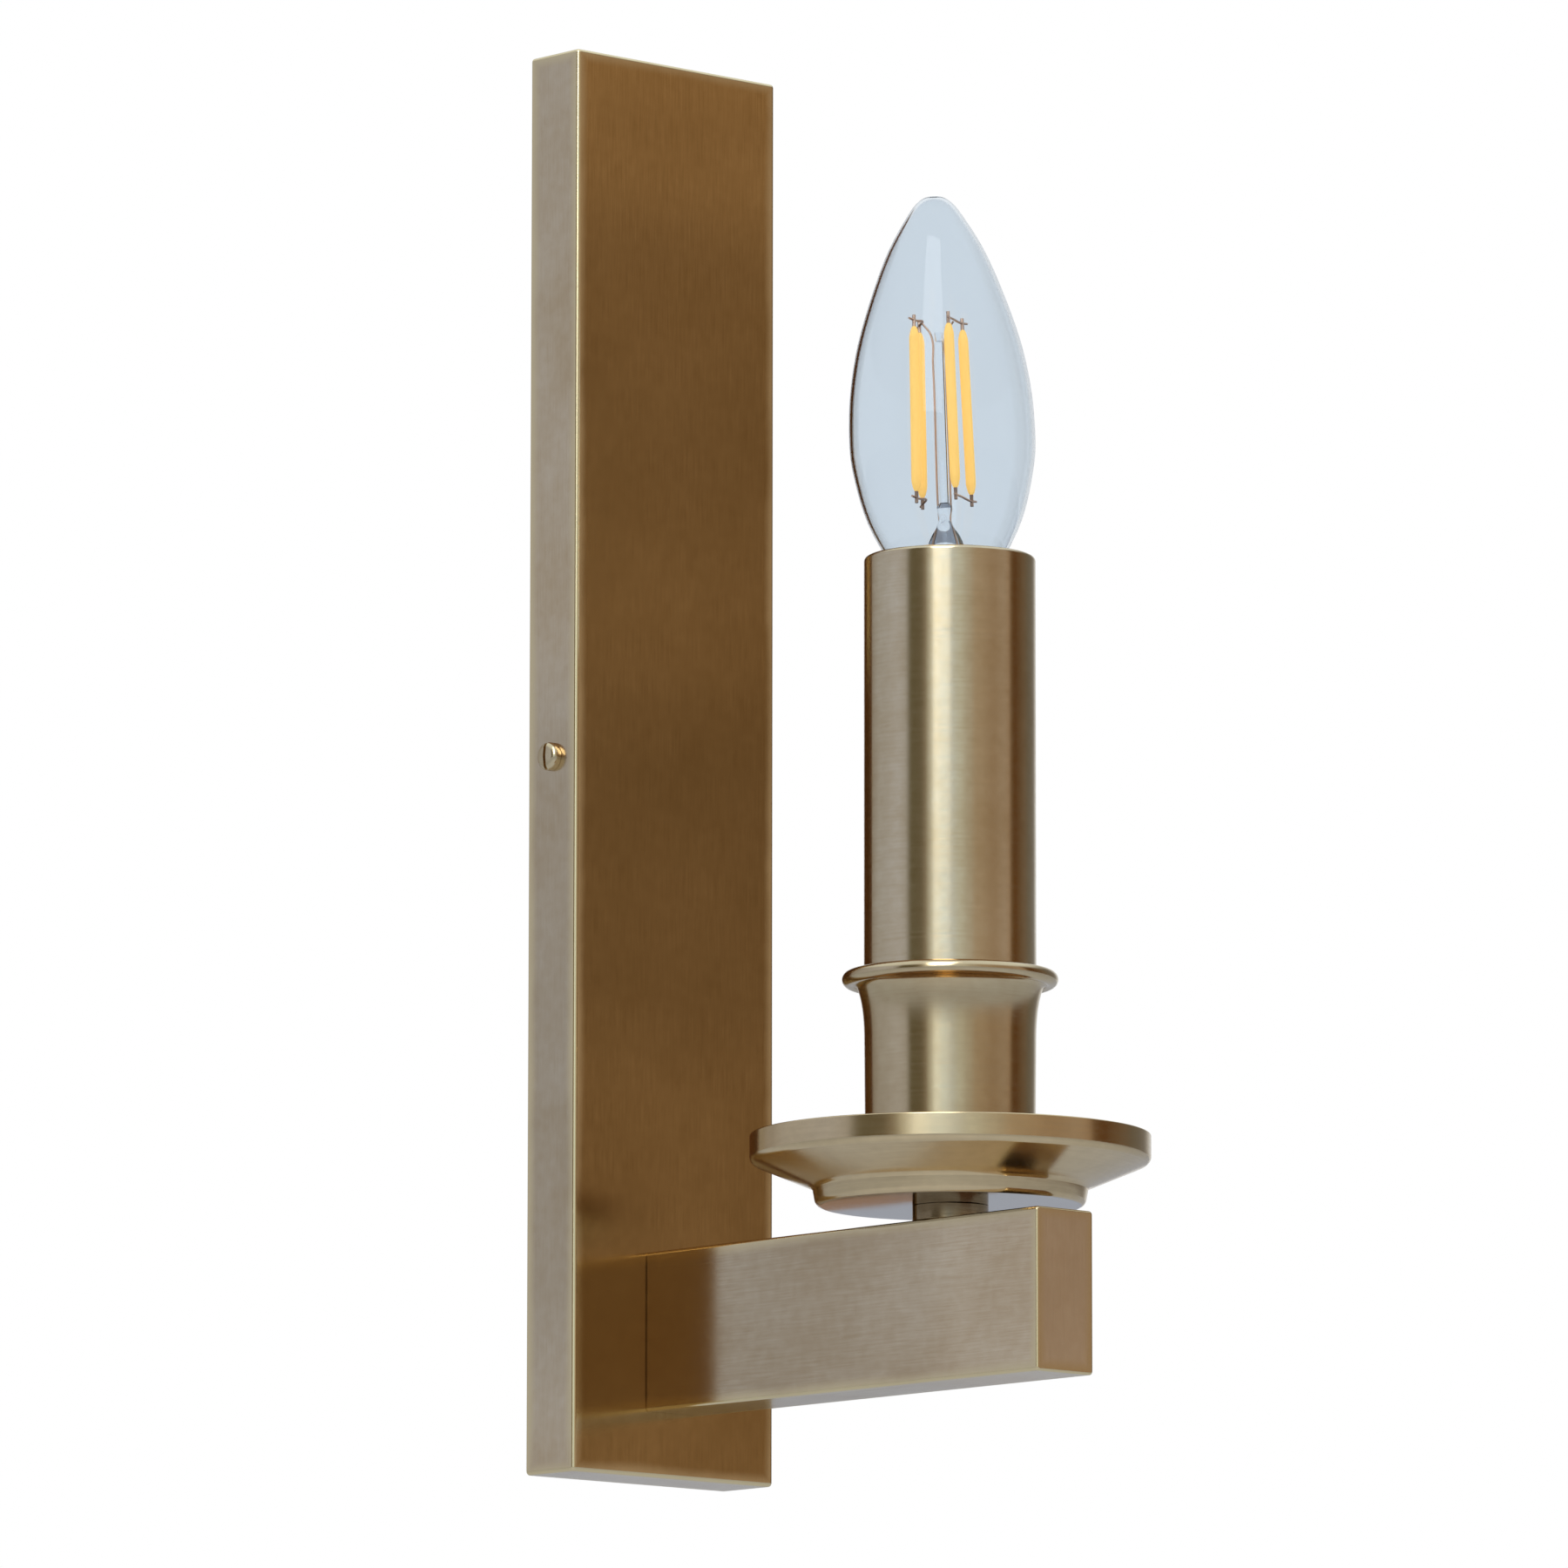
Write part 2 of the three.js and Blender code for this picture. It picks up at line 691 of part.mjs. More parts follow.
// The cup: a slim wall that flares into a throat below a rolled bead, with a shoulder
// inside the mouth that carries the candle tube.
function cupProfile() {
  const hole = nippleRadius + clearance;
  const inner = cupBaseRadius - cupWall;
  const mouth = tubeRadius + tubeClearance;
  const throatHeight = beadHeight - 1.5;
  const flareBottom = throatHeight - cupFlareHeight;
  const flareTurn = throatHeight - 3;
  const flare = new THREE.QuadraticBezierCurve(
    new THREE.Vector2(cupWaistRadius, flareBottom),
    new THREE.Vector2(cupWaistRadius + 0.1, flareTurn),
    new THREE.Vector2(cupThroatRadius, throatHeight),
  );
  const flarePoints = flare.getPoints(4).map((point) => [point.x, point.y]);
  const beadCentre = [beadRadius - beadSection, beadHeight];
  return [
    [hole, cupBottom],
    [cupBaseRadius, cupBottom],
    ...flarePoints,
    ...arc(beadCentre, beadSection, -120, 90, 5),
    [mouth + 0.6, beadHeight + beadSection * 0.8],
    [mouth, beadHeight + 0.3],
    [mouth, tubeBottom],
    [inner, tubeBottom],
    [inner, washerBottom],
    [hole, washerBottom],
  ];
}

function onCandleAxis(geometry) {
  return geometry.translate(0, candleY, 0);
}

function candleParts() {
  const hole = nippleRadius + clearance;
  const nut = cut(
    new THREE.CylinderGeometry(nutAcrossFlats / Math.sqrt(3), nutAcrossFlats / Math.sqrt(3), nutHeight, 6)
      .rotateX(Math.PI / 2)
      .translate(0, 0, nutBottom + nutHeight / 2),
    bar('z', hole, [0, 0], nutBottom - 1, nutBottom + nutHeight + 1, medium),
  );
  const parts = [
    piece('threaded_nipple', ring(nippleRadius, nippleBore / 2, nippleBottom, nippleTop, medium),
      'brassPlain'),
    piece('collar', ring(collarRadius, hole, armTop, panBottom, medium), 'darkBrass'),
    piece('drip_pan', turned(panProfile()), 'brass'),
    piece('candle_cup', turned(cupProfile()), 'brass'),
    piece('cup_washer', ring(washerRadius, hole, washerBottom, nutBottom, medium), 'nickel'),
    piece('cup_nut', nut, 'brassPlain'),
    piece('candle_tube', ring(tubeRadius, tubeRadius - tubeWall, tubeBottom, tubeTop), 'paleBrass'),
  ];
  parts.forEach((part) => onCandleAxis(part.geometry));
  return parts;
}

// ---------------------------------------------------------------- lampholder

const contactShankRadius = 1.5;
const shellLegInside = shellBore - 0.3;
const shellOutside = shellBore + shellWall;

function lampholderParts() {
  const hole = nippleRadius + clearance;
  const flangeLow = holderBottom - stalkFlange;
  const stalk = turned([
    [hole, stalkBottom],
    [stalkRadius, stalkBottom],
    [stalkRadius, flangeLow],
    [holderRadius, flangeLow],
    [holderRadius, holderBottom],
    [stalkRadius + 1, holderBottom],
    [stalkRadius - stalkWall, flangeLow],
    [stalkRadius - stalkWall, stalkBottom + stalkBase],
    [hole, stalkBottom + stalkBase],
  ], medium);
  const legSlot = block(
    [shellLegInside - 0.3, -1.8, holderFloorBottom - 1],
    [shellOutside + clearance, 1.8, holderFloorTop + 1],
  );
  const body = cut(
    turned([
      [contactShankRadius + clearance, holderFloorBottom],
      [holderChamberRadius, holderFloorBottom],
      [holderChamberRadius, holderBottom],
      [holderRadius, holderBottom],
      [holderRadius, holderTopHeight],
      [shellOutside + clearance, holderTopHeight],
      [shellOutside + clearance, holderFloorTop],
      [contactShankRadius + clearance, holderFloorTop],
    ], medium),
    legSlot,
  );
  const shell = join(
    ring(shellOutside, shellBore, holderFloorTop + 0.02, holderTopHeight - 1.2, medium),
    block(
      [shellLegInside, -1.5, holderBottom + 1.5],
      [shellBore + shellWall / 2, 1.5, holderFloorTop + 1.5],
    ),
  );
  const contact = turned([
    [0, holderBottom + 3],
    [contactShankRadius, holderBottom + 3],
    [contactShankRadius, lampTip - contactGap - 0.7],
    [3.6, lampTip - contactGap - 0.7],
    [3.6, lampTip - contactGap],
    [0, lampTip - contactGap],
  ], coarse);
  const parts = [
    piece('lampholder_stalk', stalk, 'blackPlastic'),
    piece('lampholder_body', body, 'blackPlastic'),
    piece('lampholder_shell', shell, 'nickel'),
    piece('lampholder_contact', contact, 'brassPlain'),
  ];
  parts.forEach((part) => onCandleAxis(part.geometry));
  return parts;
}

// ---------------------------------------------------------------- lamp

// The glass from its neck to its rounded tip, as radius against height.
function glassOutline() {
  const outline = new THREE.SplineCurve([
    new THREE.Vector2(glassNeckRadius, capTop - 5),
    new THREE.Vector2(glassNeckRadius + 0.05, capTop - 0.8),
    new THREE.Vector2(9.3, 27.8),
    new THREE.Vector2(14.4, 37.7),
    new THREE.Vector2(16.9, 47.2),
    new THREE.Vector2(glassRadius, glassWidestHeight),
    new THREE.Vector2(16.9, 63.7),
    new THREE.Vector2(14.7, 74.2),
    new THREE.Vector2(9.9, 87.7),
    new THREE.Vector2(5.3, 96.1),
    new THREE.Vector2(2.6, 99.3),
    new THREE.Vector2(0, lampLength),
  ]);
  return outline.getPoints(outline.points.length - 1);
}

function glassGeometry() {
  const outside = glassOutline();
  const inside = outside.map((point, index) => {
    const before = outside[Math.max(index - 1, 0)];
    const after = outside[Math.min(index + 1, outside.length - 1)];
    const along = new THREE.Vector2().subVectors(after, before).normalize();
    return [Math.max(point.x - along.y * glassWall, 0), point.y + along.x * glassWall];
  });
  inside[inside.length - 1] = [0, lampLength - glassWall];
  return turned([...inside.reverse(), ...outside.map((point) => [point.x, point.y])], medium);
}

// One filament stick with its end pins, standing on the origin.
function filamentGeometry() {
  const taper = 1.2;
  return turned([
    [0, -filamentPinLength],
    [filamentPinRadius, -filamentPinLength],
    [filamentPinRadius, 0],
    [filamentRadius, taper],
    [filamentRadius, filamentLength - taper],
    [filamentPinRadius, filamentLength],
    [filamentPinRadius, filamentLength + filamentPinLength],
    [0, filamentLength + filamentPinLength],
  ], 8);
}

function polar(radius, degrees, height) {
  const angle = THREE.MathUtils.degToRad(degrees);
  return [radius * Math.cos(angle), radius * Math.sin(angle), height];
}

function filamentMeshes() {
  return filamentAngles.map((angle, index) => {
    const foot = new THREE.Vector3(...polar(filamentCircleBottom, angle, filamentBottomHeight));
    const head = new THREE.Vector3(
      ...polar(filamentCircleTop, angle, filamentBottomHeight + filamentLength),
    );
    const mesh = piece(`filament_${index + 1}`, filamentGeometry(), 'phosphor');
    mesh.position.copy(foot);
    mesh.quaternion.setFromUnitVectors(new THREE.Vector3(0, 0, 1), head.sub(foot).normalize());
    return mesh;
  });
}

// The thin wires: a link at each end of each pair of filaments and a support up the middle.
function linkMeshes() {
  const inset = filamentPinRadius + wireGap + wireRadius;
  const topHeight = filamentBottomHeight + filamentLength + 1.2;
  const bottomHeight = filamentBottomHeight - 1.2;
  const pairs = {
    left: [filamentAngles[1], filamentAngles[2]],
    right: [filamentAngles[3], filamentAngles[0] + 360],
  };
  return Object.entries(pairs).flatMap(([side, angles]) => {
    const middle = (angles[0] + angles[1]) / 2;
    const link = (radius, height) => {
      const reach = (radius - inset) * Math.SQRT1_2;
      return cord(
        [polar(radius - inset, angles[0], height), polar(reach, middle, height),
          polar(radius - inset, angles[1], height)],
        wireRadius,
        4,
        6,
      );
    };
    const support = cord(
      [
        polar(supportWireOffset, middle, stemTopHeight + wireGap),
        polar(supportWireOffset, middle, topHeight - 8),
        polar(supportWireOffset + 0.2, middle, topHeight - 2.5),
        polar((filamentCircleTop - inset) * Math.SQRT1_2 - 0.8, middle, topHeight - 0.4),
      ],
      wireRadius,
      10,
      6,
    );
    return [
      piece(`filament_link_top_${side}`, link(filamentCircleTop, topHeight), 'nickel'),
      piece(`filament_link_bottom_${side}`, link(filamentCircleBottom, bottomHeight), 'nickel'),
      piece(`support_wire_${side}`, support, 'nickel'),
    ];
  });
}

// The glass stem: a hollow flare in the neck that narrows to a pinch, and a thin clear rod
// above it between the filaments.
function stemGeometry() {
  const foot = 21;
  return turned([
    [0, 31],
    [2.2, 30],
    [5, foot],
    [5.8, foot],
    [4.4, 26],
    [3.3, 33.5],
    [1.9, 37],
    [1.7, stemTopHeight],
    [stemRodRadius, stemTopHeight + 0.2],
    [stemRodRadius, stemTopHeight + stemRodLength],
    [0, stemTopHeight + stemRodLength],
  ], coarse);
}

function capGeometry() {
  return turned([
    [capLipRadius, capBottom],
    [capThreadRadius, capBottom + 1],
    [capThreadRadius, capThreadTop],
    [capSkirtRadius, capThreadTop + 1.2],
    [capSkirtRadius, capTop],
    [capSkirtRadius - capWall, capTop],
    [capSkirtRadius - capWall, capThreadTop + 1.5],
    [capThreadRadius - capWall, capThreadTop + 0.3],
    [capThreadRadius - capWall, capBottom + 1.2],
    [capLipRadius - 0.05, capBottom + 0.6],
  ], medium);
}

function lampGroup() {
  const lamp = new THREE.Group();
  lamp.position.set(0, candleY, lampTip);
  const tip = turned([
    [0, 0],
    [tipRadius * 0.7, 0],
    [tipRadius, tipHeight * 0.4],
    [tipRadius, tipHeight],
    [0, tipHeight],
  ], coarse);
  const insulatorLow = tipHeight + insulatorGap;
  const insulatorRadius = capLipRadius - 0.4;
  const insulator = turned([
    [0, insulatorLow],
    [tipRadius + 0.6, insulatorLow],
    [insulatorRadius, capBottom - 0.1],
    [insulatorRadius, capBottom + 1.6],
    [0, capBottom + 1.6],
  ], coarse);
  const board = block([-4.5, -0.6, capBottom + 2], [4.5, 0.6, capBottom + 13]);
  lamp.add(
    piece('bulb_contact_tip', tip, 'nickel'),
    piece('cap_insulator', insulator, 'blackGlass'),
    piece('bulb_cap', capGeometry(), 'nickel'),
    piece('driver_board', board, 'board'),
  );
  const lean = new THREE.Group();
  const direction = THREE.MathUtils.degToRad(leanDirection);
  const hingeLine = new THREE.Vector3(-Math.sin(direction), Math.cos(direction), 0);
  lean.quaternion.setFromAxisAngle(hingeLine, THREE.MathUtils.degToRad(glassLean));
  lean.position.z = leanPivotHeight;
  const inside = new THREE.Group();
  inside.position.z = -leanPivotHeight;
  inside.add(
    piece('bulb_glass', glassGeometry(), 'glass'),
    piece('bulb_stem', stemGeometry(), 'glass'),
    ...filamentMeshes(),
    ...linkMeshes(),
  );
  lean.add(inside);
  lamp.add(lean);
  return lamp;
}

// ---------------------------------------------------------------- the whole light

const wallLight = new THREE.Group();
wallLight.add(
  ...wallParts(),
  ...terminalParts(),
  ...wireParts(),
  ...armParts(),
  ...candleParts(),
  ...lampholderParts(),
  lampGroup(),
);

export default wallLight;
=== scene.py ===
# %% [markdown]
# # A candle-style wall light in brushed antique brass
# The light is a tall wall plate with one flat arm. On the arm stand a turned drip pan, a candle
# cup with a rolled bead, a plain brass tube and a clear, candle-shaped filament lamp.
# The working model comes first: it is loaded as a fixed frame, and every new piece takes its
# place and size from it, so nothing has to be fitted afterwards.

# %% The frame
import json
import math

import bmesh
import bpy
from mathutils import Matrix, Quaternion, Vector

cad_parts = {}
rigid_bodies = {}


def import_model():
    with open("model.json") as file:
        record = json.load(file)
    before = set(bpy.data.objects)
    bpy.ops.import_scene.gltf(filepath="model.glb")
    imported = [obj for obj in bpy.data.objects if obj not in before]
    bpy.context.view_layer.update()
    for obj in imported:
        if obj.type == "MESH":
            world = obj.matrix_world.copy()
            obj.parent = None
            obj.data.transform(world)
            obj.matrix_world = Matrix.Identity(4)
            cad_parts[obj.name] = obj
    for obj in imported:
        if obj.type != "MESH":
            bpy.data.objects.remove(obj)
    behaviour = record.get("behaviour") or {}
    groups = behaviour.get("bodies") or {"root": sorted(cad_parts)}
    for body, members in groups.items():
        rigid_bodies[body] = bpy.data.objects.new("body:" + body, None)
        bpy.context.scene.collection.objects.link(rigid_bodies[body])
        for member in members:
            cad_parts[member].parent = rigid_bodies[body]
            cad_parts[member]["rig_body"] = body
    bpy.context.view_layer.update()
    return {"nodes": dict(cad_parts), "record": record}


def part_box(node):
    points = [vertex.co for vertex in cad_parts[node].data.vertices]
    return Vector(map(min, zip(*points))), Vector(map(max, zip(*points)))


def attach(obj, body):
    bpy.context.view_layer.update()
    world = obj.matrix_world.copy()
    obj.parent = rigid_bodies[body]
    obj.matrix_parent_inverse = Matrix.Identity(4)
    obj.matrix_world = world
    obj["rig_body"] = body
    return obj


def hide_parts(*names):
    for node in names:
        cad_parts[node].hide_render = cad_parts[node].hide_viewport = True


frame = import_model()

MM = 0.001

# %% [markdown]
# ## Measures read from the frame
# A box's corners give what a turned piece needs: its axis, its radius and its two ends. Reading
# them here means that a change in the working model moves the fine pieces with it. Lengths in
# Blender are metres, but profiles are easier to read in millimetres, so MM turns one to the other.


# %% Measures
def low(node):
    return Vector(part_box(node)[0])


def high(node):
    return Vector(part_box(node)[1])


def middle(node):
    return (low(node) + high(node)) / 2


def radius_of(node):
    """The radius of a round upright piece, in millimetres."""
    return (high(node).x - low(node).x) / 2 / MM


def bottom_and_top(node):
    """The two heights of a piece, in millimetres."""
    return low(node).z / MM, high(node).z / MM


candle_axis = Vector((0, middle("collar").y, 0))
lamp_zero = candle_axis + Vector((0, 0, low("bulb_contact_tip").z))
plate_front = low("backplate_cover").y
print("candle axis at y =", round(candle_axis.y, 5), "plate front at y =", round(plate_front, 5))

# %% [markdown]
# ## Studio: camera
# A long lens from below, at the left of the light, shows the plate's side and front, the arm's
# side and the underside of the pan together. Its place is worked out from a bearing, a height
# angle and a distance, because those are easier to think in than three coordinates. The window
# further on is set up with the same helper.

# %% Camera
CAMERA_BEARING = math.radians(-42.229)
CAMERA_HEIGHT = math.radians(-8.478)
CAMERA_ROLL = math.radians(0.058)
CAMERA_DISTANCE = 2.2702
CAMERA_AIM = Vector((-0.00658, -0.05169, -0.00826))
CAMERA_LENS = 275.76


def looking_at(aim, name, data, bearing, height, distance):
    """A camera or lamp that looks at a point from a bearing, a height angle and a distance."""
    level = math.cos(height)
    away = Vector((math.sin(bearing) * level, -math.cos(bearing) * level, math.sin(height)))
    made = bpy.data.objects.new(name, data)
    bpy.context.collection.objects.link(made)
    made.location = aim + away * distance
    made.rotation_mode = "QUATERNION"
    made.rotation_quaternion = (-away).to_track_quat("-Z", "Y")
    return made


def add_camera():
    data = bpy.data.cameras.new("camera")
    data.lens = CAMERA_LENS
    data.sensor_width = 36
    data.clip_start = 0.05
    data.dof.use_dof = False
    made = looking_at(CAMERA_AIM, "camera", data, CAMERA_BEARING, CAMERA_HEIGHT, CAMERA_DISTANCE)
    made.rotation_quaternion = made.rotation_quaternion @ Quaternion((0, 0, 1), CAMERA_ROLL)
    bpy.context.scene.camera = made
    return made


camera = add_camera()
print("camera at", [round(value, 4) for value in camera.location])

# %% [markdown]
# ## Helpers: shader nodes
# The room and every finish are trees of shader nodes. They could be drawn by hand in the editor.
# In a script, one line for each node keeps them readable: its kind, what goes into it and its
# settings. The nodes that come back in nearly every finish get a helper of their own.

# %% Shader nodes


def feed(tree, made, inputs):
    """Sets each named input of a node to a value, or links it to another node's output."""
    for key, value in inputs.items():
        if isinstance(value, bpy.types.NodeSocket):
            tree.links.new(value, made.inputs[key])
        else:
            made.inputs[key].default_value = value


def node(tree, kind, inputs=None, **settings):
    made = tree.nodes.new(kind)
    for key, value in settings.items():
        setattr(made, key, value)
    feed(tree, made, inputs or {})
    return made


def math_node(tree, operation, *values, clamp=False):
    made = node(tree, "ShaderNodeMath", dict(enumerate(values)), operation=operation)
    made.use_clamp = clamp
    return made.outputs[0]


def vector_math(tree, operation, first, *second):
    inputs = dict(enumerate([first, *second]))
    return node(tree, "ShaderNodeVectorMath", inputs, operation=operation).outputs[0]


def split(tree, vector):
    """A vector's X, Y and Z."""
    return node(tree, "ShaderNodeSeparateXYZ", {0: vector}).outputs


def mix_colour(tree, factor, first, second, blend="MIX"):
    """Two colours mixed; the colour sockets of a Mix node are its inputs 6 and 7."""
    colours = [value if isinstance(value, bpy.types.NodeSocket) else (*value, 1)
               for value in (first, second)]
    made = node(tree, "ShaderNodeMix", {0: factor, 6: colours[0], 7: colours[1]},
                data_type="RGBA", blend_type=blend)
    return made.outputs[2]


def ramp_node(tree, factor, stops):
    """An eased colour ramp from (position, colour) stops."""
    made = node(tree, "ShaderNodeValToRGB", {"Fac": factor})
    ramp = made.color_ramp
    ramp.interpolation = "EASE"
    while len(ramp.elements) < len(stops):
        ramp.elements.new(0.5)
    for element, (position, colour) in zip(ramp.elements, stops):
        element.position = position
        element.color = (*colour, 1)
    return made.outputs["Color"]


def map_range(tree, value, start, end, to_start=0.0, to_end=1.0, kind="LINEAR"):
    return node(tree, "ShaderNodeMapRange", {
        "Value": value, "From Min": start, "From Max": end, "To Min": to_start, "To Max": to_end,
    }, interpolation_type=kind).outputs["Result"]


def noise(tree, place, scale, detail=2.0, roughness=0.5):
    """Soft noise from 0 to 1, most of it near a half."""
    return node(tree, "ShaderNodeTexNoise", {
        "Vector": place, "Scale": scale, "Detail": detail, "Roughness": roughness,
    }).outputs["Fac"]


def bump(tree, height, strength, distance):
    return node(tree, "ShaderNodeBump", {
        "Height": height, "Strength": strength, "Distance": distance,
    }).outputs[0]


def new_material(name):
    """An empty finish: the material, its tree, its shader and the object's coordinates."""
    material = bpy.data.materials.new(name)
    material.use_nodes = True
    tree = material.node_tree
    place = node(tree, "ShaderNodeTexCoord").outputs["Object"]
    return material, tree, tree.nodes["Principled BSDF"], place


print("shader helpers ready")

# %% [markdown]
# ## Studio: surroundings
# Polished metal shows almost nothing of itself: what is seen on it is the room. So a room is
# laid out, going round the light from behind the camera: a large pale window a little to the
# left, a warm brown room to the right, a dark doorway beside it, a dark gap and then a grey wall
# to the left, and a white sweep behind. A colour ramp over the bearing holds those bands, which
# is cleaner and quicker than a ring of cards and gives no noise. A pale ceiling closes it above
# and a greyer floor below. Looked at directly, the surroundings are plain white. What one brass
# face mirrors in another one comes back much darker and browner, as in a crowded room.

# %% Surroundings
ROOM = [
    (-180, (0.95, 0.97, 1.0)),
    (-163, (0.45, 0.45, 0.46)),
    (-150, (0.33, 0.31, 0.26)),
    (-138, (0.29, 0.26, 0.22)),
    (-130, (0.32, 0.31, 0.32)),
    (-108, (0.41, 0.43, 0.50)),
    (-74, (0.47, 0.50, 0.61)),
    (-64, (0.44, 0.46, 0.54)),
    (-54, (0.115, 0.10, 0.055)),
    (-40, (0.125, 0.105, 0.065)),
    (-34, (0.22, 0.185, 0.14)),
    (-28, (0.50, 0.52, 0.50)),
    (-20, (0.84, 0.94, 1.04)),
    (-8, (0.65, 0.80, 0.97)),
    (0, (0.57, 0.67, 0.80)),
    (12, (0.57, 0.62, 0.63)),
    (24, (0.46, 0.45, 0.42)),
    (36, (0.40, 0.33, 0.26)),
    (60, (0.335, 0.255, 0.19)),
    (78, (0.37, 0.30, 0.25)),
    (85, (0.37, 0.28, 0.22)),
    (91, (0.13, 0.07, 0.025)),
    (98, (0.11, 0.045, 0.008)),
    (106, (0.14, 0.085, 0.045)),
    (118, (0.17, 0.125, 0.09)),
    (130, (0.16, 0.145, 0.125)),
    (146, (0.20, 0.19, 0.185)),
    (166, (0.70, 0.72, 0.75)),
    (180, (0.95, 0.97, 1.0)),
]
CEILING = (0.78, 0.86, 0.95)
CEILING_FROM, CEILING_FULL = 0.42, 0.75
FAR_FLOOR = (0.42, 0.41, 0.41)
FAR_FLOOR_FROM, FAR_FLOOR_FULL = -0.02, -0.11
SECOND_LOOK = (0.42, 0.28, 0.20)
SECOND_LOOK_DEPTH = 2.5   # a ray's depth is 2 after one mirror and 3 after two


def turn_from_camera(tree, parts):
    """How far round a direction lies: 0.5 is the camera's side, 0 and 1 lie behind the light."""
    bearing = math_node(tree, "ARCTAN2", parts["Y"], parts["X"])
    camera_side = math.atan2(-math.cos(CAMERA_BEARING), math.sin(CAMERA_BEARING))
    turns = math_node(tree, "MULTIPLY_ADD", bearing, 1 / math.tau, 0.5 - camera_side / math.tau)
    return math_node(tree, "FRACT", turns)


def build_surroundings():
    world = bpy.data.worlds.new("studio")
    world.use_nodes = True
    bpy.context.scene.world = world
    tree = world.node_tree
    tree.nodes.clear()
    parts = split(tree, node(tree, "ShaderNodeTexCoord").outputs["Generated"])
    stops = [((degrees + 180) / 360, colour) for degrees, colour in ROOM]
    walls = ramp_node(tree, turn_from_camera(tree, parts), stops)
    above = map_range(tree, parts["Z"], CEILING_FROM, CEILING_FULL, kind="SMOOTHSTEP")
    below = map_range(tree, parts["Z"], FAR_FLOOR_FROM, FAR_FLOOR_FULL, kind="SMOOTHSTEP")
    room = mix_colour(tree, below, mix_colour(tree, above, walls, CEILING), FAR_FLOOR)
    seen = node(tree, "ShaderNodeLightPath").outputs
    twice = math_node(tree, "GREATER_THAN", seen["Ray Depth"], SECOND_LOOK_DEPTH)
    mirrored_twice = math_node(tree, "SUBTRACT", twice, seen["Is Diffuse Ray"], clamp=True)
    shaded = mix_colour(tree, mirrored_twice, room,
                        mix_colour(tree, 1.0, room, SECOND_LOOK, "MULTIPLY"))
    direct = math_node(tree, "MAXIMUM", seen["Is Camera Ray"], seen["Is Transmission Ray"])
    white = mix_colour(tree, direct, shaded, (1, 1, 1))
    background = node(tree, "ShaderNodeBackground", {"Color": white})
    node(tree, "ShaderNodeOutputWorld", {"Surface": background.outputs[0]})


build_surroundings()
bpy.context.scene.view_settings.view_transform = "Standard"
print("bands round the room:", len(ROOM))

# %% [markdown]
# ## Studio: window and floor
# The window behind the camera is also a real light: a tall soft panel, high on the left. Its
# reflection makes the white flame on the glass, and it gives the matt parts their shape. It is
# hidden from the camera itself. The floor is plain and pale, well below the light, and wide
# enough that its end is never seen.

# %% Window and floor
WINDOW_BEARING = CAMERA_BEARING + math.radians(-12)
WINDOW_HEIGHT = math.radians(40)
WINDOW_DISTANCE = 2.6
WINDOW_WIDTH = 1.15
WINDOW_TALL = 2.6
WINDOW_WATTS = 26
FLOOR_DROP = 1.1
FLOOR_SIZE = 60


def add_window():
    data = bpy.data.lights.new("window", "AREA")
    data.shape = "RECTANGLE"
    data.size = WINDOW_WIDTH
    data.size_y = WINDOW_TALL
    data.energy = WINDOW_WATTS
    window = looking_at(candle_axis, "window", data, WINDOW_BEARING, WINDOW_HEIGHT, WINDOW_DISTANCE)
    window.visible_camera = False


def pale_floor():
    material, tree, shader, place = new_material("pale_floor")
    colour = mix_colour(tree, noise(tree, place, 3.0), (0.57, 0.57, 0.60), (0.62, 0.62, 0.65))
    feed(tree, shader, {"Base Color": colour, "Roughness": 0.8})
    return material


def add_floor():
    mesh = bmesh.new()
    bmesh.ops.create_grid(mesh, x_segments=1, y_segments=1, size=FLOOR_SIZE / 2)
    bmesh.ops.translate(mesh, verts=mesh.verts, vec=(0, 0, -FLOOR_DROP))
    data = bpy.data.meshes.new("floor")
    mesh.to_mesh(data)
    mesh.free()
    data.materials.append(pale_floor())
    floor = bpy.data.objects.new("floor", data)
    bpy.context.collection.objects.link(floor)


add_window()
add_floor()
print("window", WINDOW_WATTS, "W, floor", FLOOR_DROP, "m below the light's middle")

# %% [markdown]
# ## Finish: the grain of brushed brass
# Brushing leaves thousands of fine parallel scratches. One noise, stretched along the scratches,
# shows them, and later drives the colour, the gloss and a little bump. On turned pieces the
# scratches run round the axis, so there the noise is read by radius and height instead of by
# plain place. Each helper also gives the scratches' direction, which the reflections need.

# %% Grain
GRAIN_ACROSS = 4000.0
GRAIN_ALONG = 110.0
GRAIN_ROUND = 0.6
GRAIN_WANDER = 9.0


def straight_grain(tree, place, along):
    """Stretched coordinates with their lines along X, Y or Z, and the direction of the lines."""
    index = "XYZ".index(along)
    scale = [GRAIN_ACROSS] * 3
    scale[index] = GRAIN_ALONG
    line = [0.03, 0.02, 0.025]   # a hair off the axis, so that no face is quite square to it
    line[index] = 1.0
    stretched = node(tree, "ShaderNodeMapping", {"Vector": place, "Scale": scale})
    return stretched.outputs[0], tuple(line)


